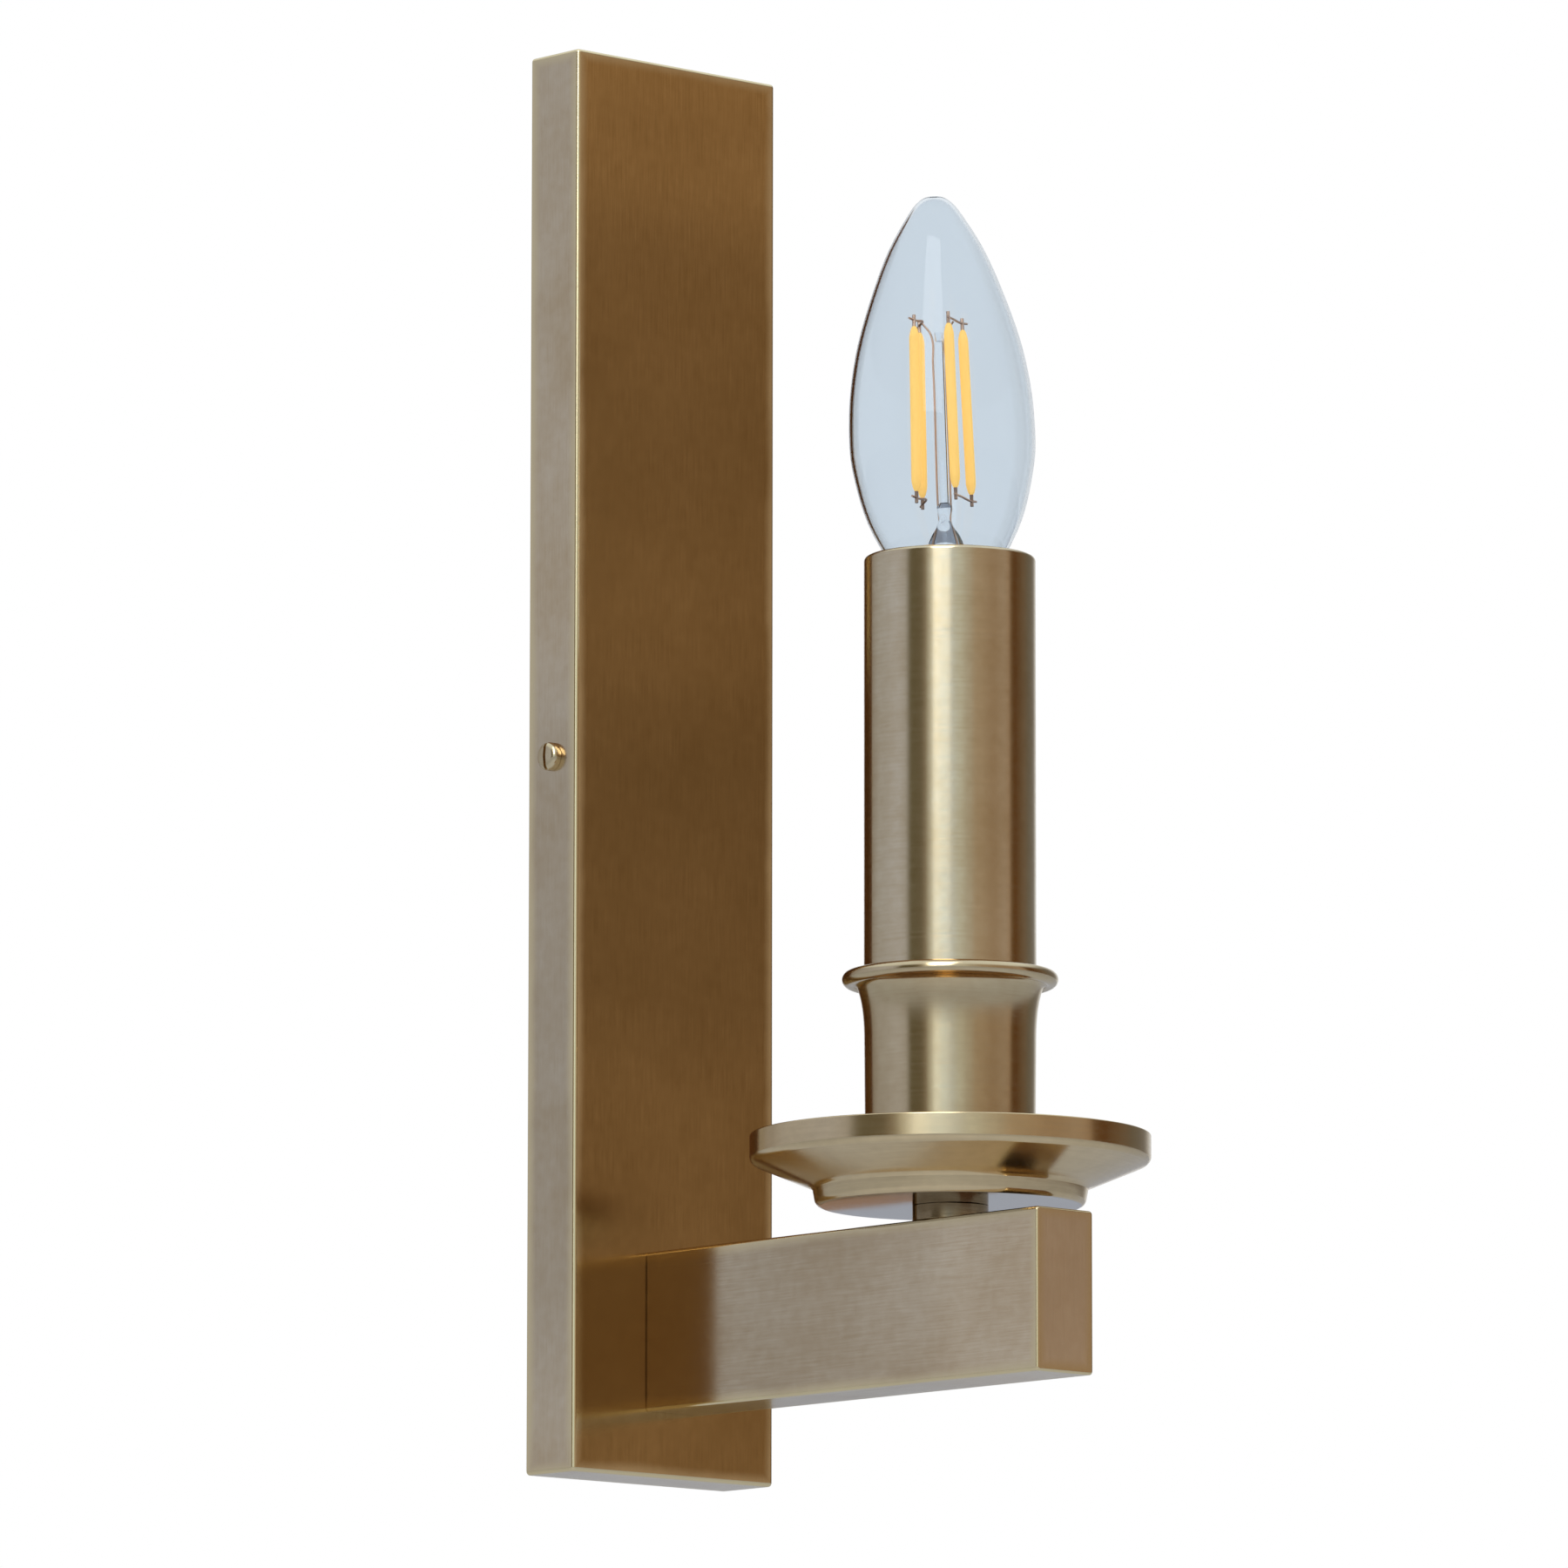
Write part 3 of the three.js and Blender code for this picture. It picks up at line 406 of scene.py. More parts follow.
def turned_grain(tree, place):
    """The same, read by radius and height about the candle's axis, and broken up a little."""
    shift = (-candle_axis.x, -candle_axis.y, 0)
    centred = node(tree, "ShaderNodeMapping", {"Vector": place, "Location": shift}).outputs[0]
    x, y, z = split(tree, centred)
    radius = math_node(tree, "SQRT", math_node(tree, "MULTIPLY_ADD", x, x,
                                               math_node(tree, "MULTIPLY", y, y)))
    wander = noise(tree, centred, GRAIN_ALONG / 2)
    rings = node(tree, "ShaderNodeCombineXYZ", {
        0: math_node(tree, "MULTIPLY", radius, GRAIN_ACROSS * GRAIN_ROUND),
        1: math_node(tree, "MULTIPLY", z, GRAIN_ACROSS * GRAIN_ROUND),
        2: math_node(tree, "MULTIPLY", wander, GRAIN_WANDER),
    }).outputs[0]
    return rings, vector_math(tree, "CROSS_PRODUCT", (0, 0, 1), centred)


print("scratches", round(1000 / GRAIN_ACROSS, 2), "mm wide,", round(1000 / GRAIN_ALONG), "mm long")

# %% [markdown]
# ## Finish: worn and highlit edges, and painted reflection along the piece
# The edges of the plate and the arm are painted pale brass, more in some spots than in others:
# partly rubbed wear, partly a painted highlight of the light that rounded edges catch. On a
# box, the way to an edge is the middle one of the three ways to its faces, so three lines of
# node arithmetic find every edge without any texture. The large faces are also painted darker
# in some places than in others along their length, as painted reflection. A ramp along the
# piece holds that.

# %% Worn and highlit edges, painted reflection along the piece
# Width, reach and colour of the pale edge band: rubbed wear and painted highlight.
WORN_HIGHLIT_EDGE = 0.0013
WORN_HIGHLIT_EDGE_END = 3.2
WORN_HIGHLIT_EDGE_COLOUR = (0.88, 0.73, 0.43)


def nearest_edge(tree, place, lowest, highest):
    """Distance from a point on a box to the box's nearest edge: the middle one of its three
    distances to the box's faces, because the smallest is the face the point is on."""
    centred = vector_math(tree, "SUBTRACT", place, (lowest + highest) / 2)
    outwards = vector_math(tree, "ABSOLUTE", centred)
    x, y, z = split(tree, vector_math(tree, "SUBTRACT", (highest - lowest) / 2, outwards))
    smaller = math_node(tree, "MINIMUM", x, y)
    larger = math_node(tree, "MAXIMUM", x, y)
    return math_node(tree, "MAXIMUM", smaller, math_node(tree, "MINIMUM", larger, z))


def worn_and_highlit_edges(tree, base, place, box, patina):
    """The base colour with the box's edges painted pale, more in some spots than in others: rubbed
    wear and painted highlight.
    """
    uneven = math_node(tree, "MULTIPLY_ADD", patina, WORN_HIGHLIT_EDGE * 2, nearest_edge(tree, place, *box))
    wear_and_highlight = map_range(tree, uneven, WORN_HIGHLIT_EDGE, WORN_HIGHLIT_EDGE * WORN_HIGHLIT_EDGE_END, 1.0, 0.0, "SMOOTHSTEP")
    return mix_colour(tree, wear_and_highlight, base, WORN_HIGHLIT_EDGE_COLOUR)


def painted_reflection_ramp(tree, base, place, box, axis, stops):
    """The base colour painted darker or paler along an axis, as painted reflection; stops are
    (share of length, factor).
    The ramp holds half of each factor, so that it stays below 1, and the result is doubled."""
    index = "XYZ".index(axis)
    share = map_range(tree, split(tree, place)[axis], box[0][index], box[1][index])
    halves = [(position, [factor / 2] * 3) for position, factor in stops]
    half = mix_colour(tree, 1.0, base, ramp_node(tree, share, halves), "MULTIPLY")
    return mix_colour(tree, 1.0, half, half, "ADD")


# The pale edge band is rubbed wear and painted highlight.
print("edges rubbed for about", round(WORN_HIGHLIT_EDGE * WORN_HIGHLIT_EDGE_END * 1000, 1), "mm at most")

# %% [markdown]
# ## Finish: brushed brass
# Fine light and dark lines, a slightly uneven gloss, and reflections that smear across the
# scratches but stay sharp along them make metal look brushed. The grain drives the first two and
# a little bump, and the shader's anisotropy does the third: its tangent is set square to the
# scratches and to the surface. Two softer noises carry the antique finish, a warm brown patina
# that lies a little thicker in some spots.

# %% Brushed brass
PATINA_SCALE = 38.0
FLECK_SCALE = 420.0
CLOUD = 0.9
GLOSS = (0.13, 0.24)
SMEAR = 0.55


def brushed_brass(name, colour, shade, along, grain=0.22, cloud=CLOUD, box=None, painted_ramp=None):
    """Brass with its scratches along an axis letter, or round the candle's axis for 'round'."""
    material, tree, shader, place = new_material(name)
    if along == "round":
        vector, line = turned_grain(tree, place)
    else:
        vector, line = straight_grain(tree, place, along)
    scratches = noise(tree, vector, 1.0, 4.0, 0.65)
    patina = noise(tree, place, PATINA_SCALE, 5.0, 0.55)
    flecks = noise(tree, place, FLECK_SCALE, 3.0)
    worn = math_node(tree, "MULTIPLY_ADD", flecks, 0.35, math_node(tree, "MULTIPLY", patina, cloud))
    even = (CLOUD - cloud) / 2 - grain
    worn = math_node(tree, "MULTIPLY_ADD", scratches, grain * 2, math_node(tree, "ADD", worn, even))
    base = mix_colour(tree, map_range(tree, worn, 0.35, 0.85), colour, shade)
    # Painted reflection: darker or paler along the piece.
    if painted_ramp:
        base = painted_reflection_ramp(tree, base, place, box, *painted_ramp)
    if box:
        # Pale edges: rubbed wear and painted highlight.
        base = worn_and_highlit_edges(tree, base, place, box, patina)
    uneven = math_node(tree, "ADD", math_node(tree, "MULTIPLY", scratches, 0.6),
                       math_node(tree, "MULTIPLY", patina, 0.4))
    normal = node(tree, "ShaderNodeNewGeometry").outputs["Normal"]
    feed(tree, shader, {
        "Base Color": base,
        "Roughness": map_range(tree, uneven, 0.3, 0.7, *GLOSS),
        "Tangent": vector_math(tree, "CROSS_PRODUCT", normal, line),
        "Normal": bump(tree, scratches, 0.08, 0.00003),
        "Metallic": 1.0,
        "Anisotropic": SMEAR,
    })
    return material


print("gloss between roughness", *GLOSS)

# %% [markdown]
# ## The brasses of this light
# All the brass is darkened in the same bath, but every piece is then brushed in its own way. The
# collar stays dark, and the arm's end and the tube come out palest. The plate's front is painted
# darker and browner than its sides, as painted shade. The ramps along the plate and the arm are
# painted reflection, and the last step down in the arm's ramp is its dark joint with the plate.

# %% The brasses
GOLDEN = (0.84, 0.66, 0.39)
WARM = (0.66, 0.52, 0.31)
BEHIND_ARM = 0.02   # so that the arm's hidden root isn't given a pale, worn and highlit edge
plate_box = (low("backplate_cover"), high("backplate_cover"))
arm_box = (low("arm_end_cap"), high("arm_tube") + Vector((0, BEHIND_ARM, 0)))
# Painted reflection along the plate's front and sides: darker or paler with height, the front
# brightest at its top.
FRONT_PAINTED_REFLECTION = [(0.0, 1.1), (0.24, 1.0), (0.36, 0.86), (0.49, 0.82), (0.6, 0.97), (0.73, 0.93),
              (0.85, 1.02), (0.94, 1.32), (1.0, 1.45)]
SIDE_PAINTED_REFLECTION = [(0.0, 1.02), (0.14, 0.86), (0.3, 0.84), (0.48, 0.88), (0.6, 1.02), (1.0, 0.98)]
# Painted reflection along the arm; its last, steep step down is the dark joint with the plate.
ARM_PAINTED_REFLECTION_AND_JOINT = [(0.0, 1.16), (0.14, 1.12), (0.28, 0.98), (0.42, 0.92), (0.6, 0.88), (0.8395, 0.92),
            (0.8425, 0.42), (1.0, 0.35)]
plate_brass = brushed_brass("plate_brass", (0.82, 0.70, 0.50), (0.66, 0.51, 0.31), "Z",
                            box=plate_box, painted_ramp=("Z", SIDE_PAINTED_REFLECTION))
# The front's darker, browner colour is painted shade.
front_brass_painted_shade = brushed_brass("front_brass_painted_shade", (0.52, 0.35, 0.145), (0.41, 0.26, 0.095), "Z",
                            grain=0.5, cloud=0.55, box=plate_box, painted_ramp=("Z", FRONT_PAINTED_REFLECTION))
arm_brass = brushed_brass("arm_brass", (0.80, 0.67, 0.46), (0.64, 0.49, 0.30), "Y", grain=0.4,
                          box=arm_box, painted_ramp=("Y", ARM_PAINTED_REFLECTION_AND_JOINT))
end_brass = brushed_brass("end_brass", (0.98, 0.89, 0.70), (0.86, 0.73, 0.53), "Z", box=arm_box)
turned_brass = brushed_brass("turned_brass", GOLDEN, WARM, "round")
cup_brass = brushed_brass("cup_brass", (0.76, 0.63, 0.40), (0.62, 0.48, 0.28), "round")
tube_brass = brushed_brass("tube_brass", (0.82, 0.71, 0.50), WARM, "round")
screw_brass = brushed_brass("screw_brass", (0.80, 0.68, 0.44), (0.58, 0.46, 0.27), "Z")
dark_brass = brushed_brass("dark_brass", (0.42, 0.33, 0.20), (0.26, 0.18, 0.09), "round")
print("brass finishes:", len([m for m in bpy.data.materials if "brass" in m.name]))

# %% [markdown]
# ## Finish: machined metal, plated steel and nickel
# Hidden hardware isn't brushed by hand. Machined brass, zinc-plated sheet and nickel plate differ
# mainly in colour, in how even the gloss is and in the size of the spangle, so one material
# function with a cloudy noise and a fine noise makes all of them.

# %% Plain metals
FINE_SPANGLE = 14


def plain_metal(name, colour, shade, scale, gloss):
    material, tree, shader, place = new_material(name)
    cloud = noise(tree, place, scale, 3.0)
    fine = noise(tree, place, scale * FINE_SPANGLE)
    both = math_node(tree, "MULTIPLY_ADD", fine, 0.4, math_node(tree, "MULTIPLY", cloud, 0.6))
    feed(tree, shader, {
        "Base Color": mix_colour(tree, both, colour, shade),
        "Roughness": map_range(tree, both, 0.3, 0.7, *gloss),
        "Normal": bump(tree, fine, 0.1, 0.00005),
        "Metallic": 1.0,
    })
    return material


machined_brass = plain_metal("machined_brass", (0.88, 0.72, 0.40), (0.74, 0.56, 0.26), 300.0,
                             (0.2, 0.35))
zinc_plate = plain_metal("zinc_plate", (0.70, 0.70, 0.69), (0.52, 0.53, 0.54), 120.0, (0.28, 0.5))
nickel_plate = plain_metal("nickel_plate", (0.80, 0.77, 0.72), (0.66, 0.63, 0.58), 500.0,
                           (0.12, 0.28))
print("plain metals: machined brass, zinc plate, nickel plate")

# %% [markdown]
# ## Finish: plastics, glass and phosphor
# Moulded plastic has a very fine orange-peel skin and a broad sheen. Blown glass is clear with
# the faintest ripple, so its base colour and bump hardly move; its pale blue-grey tint is painted
# reflection, standing in for the room the glass mirrors. The filament sticks are a soft, waxy
# yellow-orange coating. A weak emission makes them glow a little though the lamp is not lit:
# that glow is painted light.

# %% Plastics, glass and phosphor


def soft_material(name, colour, shade, scale, rough, skin_bump=0.15, sockets=None):
    """A non-metal with a cloudy colour and a fine skin; sockets holds its other values."""
    material, tree, shader, place = new_material(name)
    skin = noise(tree, place, scale, 3.0)
    feed(tree, shader, {
        "Base Color": mix_colour(tree, skin, colour, shade),
        "Normal": bump(tree, skin, skin_bump, 0.00005),
        "Roughness": rough,
        **(sockets or {}),
    })
    return material


def clear_glass(name, colour, shade, bend):
    return soft_material(name, colour, shade, 45.0, 0.0, 0.02, {
        "Transmission Weight": 1.0, "IOR": bend, "Specular IOR Level": 1.0,
    })


def striped_sleeve(name, colour, stripe):
    """Wire insulation with a lengthwise stripe: green with yellow for the earth."""
    material = soft_material(name, colour, colour, 600.0, 0.45)
    tree = material.node_tree
    place = node(tree, "ShaderNodeTexCoord").outputs["Object"]
    band = node(tree, "ShaderNodeTexWave", {"Vector": place, "Scale": 70.0, "Distortion": 0.5},
                bands_direction="X").outputs["Fac"]
    striped = mix_colour(tree, math_node(tree, "GREATER_THAN", band, 0.6), colour, stripe)
    feed(tree, tree.nodes["Principled BSDF"], {"Base Color": striped})
    return material


# The lamp glass's blue-grey tint is painted reflection.
lamp_glass_painted_reflection = clear_glass("lamp_glass_painted_reflection", (0.77, 0.825, 0.87), (0.76, 0.815, 0.865), 1.26)
stem_glass = clear_glass("stem_glass", (0.95, 0.965, 0.98), (0.93, 0.95, 0.97), 1.3)
# The emission is a painted glow: the sticks glow though the lamp is unlit.
phosphor_painted_glow = soft_material("phosphor_painted_glow", (1.0, 0.60, 0.15), (0.99, 0.58, 0.14), 900.0, 0.55,
                              0.02, {"Emission Color": (1.0, 0.58, 0.14, 1),
                                     "Emission Strength": 0.75})
print("materials so far:", len(bpy.data.materials))

# %% [markdown]
# ## Which finish belongs to which node
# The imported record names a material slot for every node. One dictionary turns a slot into its
# finish, so a piece only has to say which node it stands for. The plastics differ only in colour,
# shade, scale of the skin and roughness, so a table makes them straight into the dictionary.

# %% Slots and finishes
PLASTICS = {
    "black_plastic": ((0.03, 0.03, 0.035), (0.05, 0.05, 0.055), 1400.0, 0.42),
    "white_plastic": ((0.84, 0.82, 0.77), (0.78, 0.75, 0.69), 900.0, 0.4),
    "black_glass": ((0.012, 0.012, 0.015), (0.03, 0.025, 0.04), 800.0, 0.12),
    "circuit_board": ((0.05, 0.24, 0.11), (0.03, 0.17, 0.08), 1500.0, 0.45),
    "brown_sleeve": ((0.22, 0.10, 0.05), (0.17, 0.08, 0.04), 700.0, 0.45),
    "blue_sleeve": ((0.05, 0.18, 0.48), (0.04, 0.14, 0.40), 700.0, 0.45),
}
slot_of = {row["node"]: row["material_slot"] for row in frame["record"]["subparts"]}
FINISHES = {
    "cover_brass": plate_brass,
    "arm_brass": arm_brass,
    "turned_brass": turned_brass,
    "tube_brass": tube_brass,
    "dark_brass": dark_brass,
    "plain_brass": machined_brass,
    "zinc_steel": zinc_plate,
    "nickel": nickel_plate,
    "clear_glass": lamp_glass_painted_reflection,
    "phosphor": phosphor_painted_glow,
    "green_sleeve": striped_sleeve("green_sleeve", (0.10, 0.36, 0.08), (0.85, 0.74, 0.10)),
    **{slot: soft_material(slot, *values) for slot, values in PLASTICS.items()},
}
body_of_node = {}
for node_name, carried in frame["nodes"].items():
    carried.data.materials.clear()
    carried.data.materials.append(FINISHES[slot_of[node_name]])
    body_of_node[node_name] = carried["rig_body"]
print("nodes given a finish:", len(slot_of))

# %% [markdown]
# ## Helpers: blanks and holes
# A workshop has a few basic moves, and so does this script. A blank is a box between two
# corners, and a bar is a round blank. A hole is a boolean, done on throw-away objects and read
# back, because a modelled hole shows its wall. Softened edges catch a line of light, as real ones
# do. A copy of a working piece is merged first, because its mesh is loose triangles.

# %% Blanks and holes


def box_between(lowest, highest):
    mesh = bmesh.new()
    bmesh.ops.create_cube(mesh, size=1)
    bmesh.ops.scale(mesh, vec=highest - lowest, verts=mesh.verts)
    bmesh.ops.translate(mesh, vec=(lowest + highest) / 2, verts=mesh.verts)
    return mesh


def round_bar(radius, start, end, segments=48):
    """A closed round bar of a radius in millimetres, from one point to another in metres."""
    mesh = bmesh.new()
    line = end - start
    bmesh.ops.create_cone(mesh, cap_ends=True, segments=segments, radius1=radius * MM,
                          radius2=radius * MM, depth=line.length)
    bmesh.ops.rotate(mesh, matrix=line.to_track_quat("Z", "Y").to_matrix(), verts=mesh.verts)
    bmesh.ops.translate(mesh, vec=(start + end) / 2, verts=mesh.verts)
    return mesh


def temporary(mesh):
    data = bpy.data.meshes.new("blank")
    mesh.to_mesh(data)
    mesh.free()
    made = bpy.data.objects.new("blank", data)
    bpy.context.collection.objects.link(made)
    return made


def combined(operation, mesh, *tools):
    """The mesh with each tool taken away (DIFFERENCE) or joined on (UNION)."""
    blank = temporary(mesh)
    others = [temporary(tool) for tool in tools]
    for other in others:
        step = blank.modifiers.new("step", "BOOLEAN")
        step.object = other
        step.operation = operation
        step.solver = "EXACT"
    shaped = blank.evaluated_get(bpy.context.evaluated_depsgraph_get())
    result = bmesh.new()
    result.from_mesh(shaped.to_mesh())
    shaped.to_mesh_clear()
    for made in [blank, *others]:
        data = made.data
        bpy.data.objects.remove(made)
        bpy.data.meshes.remove(data)
    return result


def moved(mesh, vec):
    bmesh.ops.translate(mesh, vec=vec, verts=mesh.verts)
    return mesh


def soften(mesh, edges, radius, segments):
    """Rounds edges off, by a radius in millimetres."""
    bmesh.ops.bevel(mesh, geom=list(edges), offset=radius * MM, segments=segments, profile=0.5,
                    affect="EDGES", clamp_overlap=True, material=-1)
    return mesh


def edges_along(mesh, axis):
    """The edges that run along axis 0, 1 or 2."""
    return [edge for edge in mesh.edges
            if abs((edge.verts[0].co - edge.verts[1].co).normalized()[axis]) > 0.99]


def edges_at(mesh, y):
    """The edges that lie in the upright plane at this y."""
    return [edge for edge in mesh.edges if all(abs(vert.co.y - y) < 1e-6 for vert in edge.verts)]


def sharp_edges(mesh, degrees):
    return [edge for edge in mesh.edges if edge.calc_face_angle(0) > math.radians(degrees)]


def inside_of(lowest, highest, wall):
    """The space inside a box with a wall, in millimetres, and an open back."""
    inset = Vector((wall, wall, wall)) * MM
    back = highest - inset
    back.y = highest.y + 5 * MM
    return box_between(lowest + inset, back)


def cleaned(node_name, flat_degrees):
    """A copy of a node's mesh, merged, with its flat areas made whole."""
    mesh = bmesh.new()
    mesh.from_mesh(frame["nodes"][node_name].data)
    bmesh.ops.remove_doubles(mesh, verts=mesh.verts, dist=1e-6)
    bmesh.ops.dissolve_limit(mesh, angle_limit=math.radians(flat_degrees), verts=mesh.verts,
                             edges=mesh.edges)
    return mesh


print("helpers for blanks and holes ready")

# %% [markdown]
# ## Helper: the lathe
# A turned piece is one outline spun once round. The outline is a wire of a few corners. A corner
# that carries a third number is rounded off by that much before the spin, which is far less work
# than bevelling the whole ring afterwards.

# %% The lathe
CORNER_SEGMENTS = 4


def lathe(profile, steps=96, closed=True):
    """Spins (radius, height[, rounding]) points, in millimetres, round the vertical axis."""
    mesh = bmesh.new()
    verts = [mesh.verts.new((point[0] * MM, 0, point[1] * MM)) for point in profile]
    for pair in zip(verts, verts[1:]):
        mesh.edges.new(pair)
    if closed:
        mesh.edges.new((verts[-1], verts[0]))
    for vert, point in zip(verts, profile):
        if len(point) > 2:
            bmesh.ops.bevel(mesh, geom=[vert], offset=point[2] * MM, segments=CORNER_SEGMENTS,
                            profile=0.5, affect="VERTICES", material=-1)
    bmesh.ops.spin(mesh, geom=mesh.verts[:] + mesh.edges[:], cent=(0, 0, 0), axis=(0, 0, 1),
                   angle=math.tau, steps=steps, use_merge=True)
    bmesh.ops.remove_doubles(mesh, verts=mesh.verts, dist=1e-7)
    bmesh.ops.recalc_face_normals(mesh, faces=mesh.faces)
    return mesh


def arc(centre, radius, start, end, steps):
    """Profile points on an arc, angles in degrees."""
    angles = [math.radians(start + (end - start) * step / steps) for step in range(steps + 1)]
    return [(centre[0] + radius * math.cos(a), centre[1] + radius * math.sin(a)) for a in angles]


print("lathe ready, points on a rounded corner:", CORNER_SEGMENTS + 1)

# %% [markdown]
# ## Helper: a finished piece
# Every piece ends in the same way: its faces are shaded smooth but for the sharp edges, it gets
# its finish, the nodes it stands for are hidden, and it rides on their body. Weighted normals
# keep large flat faces flat beside small rounded edges. Blown, rolled and drawn pieces have no
# flat faces, so they take another modifier or none.

# %% A finished piece


def finish_piece(mesh, name, nodes, *materials, sharp=40,
                 modifier=("WEIGHTED_NORMAL", {"keep_sharp": True})):
    """Makes the object, shades it, hides the nodes it stands for and hangs it on their body."""
    for face in mesh.faces:
        face.smooth = True
    for edge in mesh.edges:
        edge.smooth = edge.calc_face_angle(0) < math.radians(sharp)
    data = bpy.data.meshes.new(name)
    mesh.to_mesh(data)
    mesh.free()
    for material in materials or [FINISHES[slot_of[nodes[0]]]]:
        data.materials.append(material)
    piece = bpy.data.objects.new(name, data)
    bpy.context.collection.objects.link(piece)
    if modifier:
        made = piece.modifiers.new(modifier[0].lower(), modifier[0])
        for key, value in modifier[1].items():
            setattr(made, key, value)
    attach(piece, body_of_node[nodes[0]])
    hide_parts(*nodes)
    print(name, len(data.polygons), "faces")


print("nodes to stand for:", len(body_of_node))

# %% [markdown]
# ## Wall plate
# The plate is a shallow pressed box with an open back, and its edges are rubbed to a small even
# radius. It could be a box with a bevel modifier, but the inside and the holes have to be real,
# because the back is seen before the light is hung. So an outer blank is rounded, a smaller inner
# blank is cut out of it, and the holes for the side screws, the arm screws and the wires follow.
# Its front is painted darker and browner than its sides, as painted shade, so it has its own
# finish.

# %% Wall plate
PLATE_EDGE = 0.8
PLATE_INNER_EDGE = 0.4
PLATE_BACK_EDGE = 0.25
PLATE_WALL = 1.2
SCREW_HOLE = 2.15
BUSHING_HOLE = 4.05


def wall_plate():
    lowest, highest = low("backplate_cover"), high("backplate_cover")
    outer = box_between(lowest, highest)
    soften(outer, set(outer.edges) - set(edges_at(outer, highest.y)), PLATE_EDGE, 5)
    inner = inside_of(lowest, highest, PLATE_WALL)
    soften(inner, edges_along(inner, 1), PLATE_INNER_EDGE, 3)
    screw = middle("side_screw_left")
    reach = highest.x + 2 * MM
    tools = [inner, round_bar(SCREW_HOLE, Vector((-reach, screw.y, screw.z)),
                              Vector((reach, screw.y, screw.z)))]
    for hole, radius in (("wire_bushing", BUSHING_HOLE), ("arm_screw_lower", SCREW_HOLE),
                         ("arm_screw_upper", SCREW_HOLE)):
        centre = middle(hole)
        front = Vector((centre.x, lowest.y - 2 * MM, centre.z))
        tools.append(round_bar(radius, front, front + Vector((0, 6 * MM, 0))))
    plate = combined("DIFFERENCE", outer, *tools)
    soften(plate, edges_at(plate, highest.y), PLATE_BACK_EDGE, 2)
    # Front faces take the front's painted shade.
    for face in plate.faces:
        front = face.normal.y < -0.99 and face.calc_center_median().y < lowest.y + 0.1 * MM
        face.material_index = int(front)
    return plate


finish_piece(wall_plate(), "backplate", ["backplate_cover"], plate_brass, front_brass_painted_shade)

# %% [markdown]
# ## Arm
# The arm is a rectangular brass tube with its end closed flush, brazed and rubbed down until no
# joint shows, so tube and end become one piece here. Its long edges keep a tight radius. The
# scratches run along the sides and up and down on the end, which is why the end has its own
# finish.

# %% Arm
ARM_EDGE = 0.7
ARM_END_EDGE = 0.49
ARM_ROOT_EDGE = 0.35
ARM_WALL = 1.5
NIPPLE_HOLE = 4.15


def arm():
    lowest = Vector(map(min, low("arm_tube"), low("arm_end_cap")))
    highest = high("arm_tube")
    outer = box_between(lowest, highest)
    soften(outer, edges_along(outer, 1), ARM_EDGE, 4)
    soften(outer, edges_at(outer, lowest.y), ARM_END_EDGE, 4)
    hole = candle_axis + Vector((0, 0, highest.z))
    depth = Vector((0, 0, 4 * MM))
    made = combined("DIFFERENCE", outer, inside_of(lowest, highest, ARM_WALL),
                    round_bar(NIPPLE_HOLE, hole - depth, hole + depth))
    soften(made, edges_at(made, highest.y), ARM_ROOT_EDGE, 3)
    for face in made.faces:
        face.material_index = int(face.normal.y < -0.6)
    return made


finish_piece(arm(), "arm", ["arm_tube", "arm_end_cap"], arm_brass, end_brass)

# %% [markdown]
# ## Drip pan
# The pan is turned from sheet: a short foot band, a cove, a wide cone, a soft shoulder and an
# upright rim, all one wall. The profile is walked once round the section, outside first and back
# along the inside, and each corner says how round it is. The underside of the foot is never
# brushed, so its faces get a second, bright finish.

# %% Drip pan
PAN_WALL = 1.4
PAN_OVERHANG = 12.3
PAN_RIM = 4.0
PAN_SHOULDER = 1.5


def pan():
    bottom, top = bottom_and_top("drip_pan")
    rim = radius_of("drip_pan")
    foot = rim - PAN_OVERHANG
    rim_low = top - PAN_RIM
    outside = [
        (NIPPLE_HOLE, bottom),
        (foot, bottom, 1.1),
        (foot + 0.5, bottom + 2.7, 0.25),
        (foot + 0.55, bottom + 3.05),
        (foot + 0.9, bottom + 3.5),
        (foot + 1.6, bottom + 3.85),
    ]
    shoulder = arc((rim - PAN_SHOULDER, rim_low), PAN_SHOULDER, -66, 0, 10)
    inner = arc((rim - PAN_SHOULDER, rim_low + 0.3), 0.1, 0, -66, 3)
    inside = [
        (rim, top, 0.3),
        (rim - PAN_WALL, top, 0.3),
        *inner,
        (foot + 0.2, bottom + 4.6, 0.8),
        (foot - 1.4, bottom + PAN_WALL, 0.8),
        (NIPPLE_HOLE, bottom + PAN_WALL),
    ]
    made = moved(lathe(outside + shoulder + inside, steps=160), candle_axis)
    for face in made.faces:
        under = face.normal.z < -0.95 and face.calc_center_median().z < (bottom + 0.1) * MM
        face.material_index = int(under)
    return made


polished_underside = plain_metal("polished_underside", (0.62, 0.60, 0.57), (0.56, 0.53, 0.50),
                                 60.0, (0.05, 0.12))
finish_piece(pan(), "drip_pan_turned", ["drip_pan"], turned_brass, polished_underside, sharp=50)

# %% [markdown]
# ## Candle cup
# The cup starts almost straight, flares under a rolled bead, and carries the tube on a step
# inside its mouth. The flare has to be one smooth sweep into the bead, so it is drawn as a curve
# of eleven points and the bead as a fine arc.

# %% Candle cup
CUP_BEAD = 1.45
CUP_BASE = 15.8
CUP_WAIST = 16.05
CUP_THROAT = 17.4
CUP_FLOOR = 1.5
CUP_FLARE = 9
FLARE_STEPS = 10


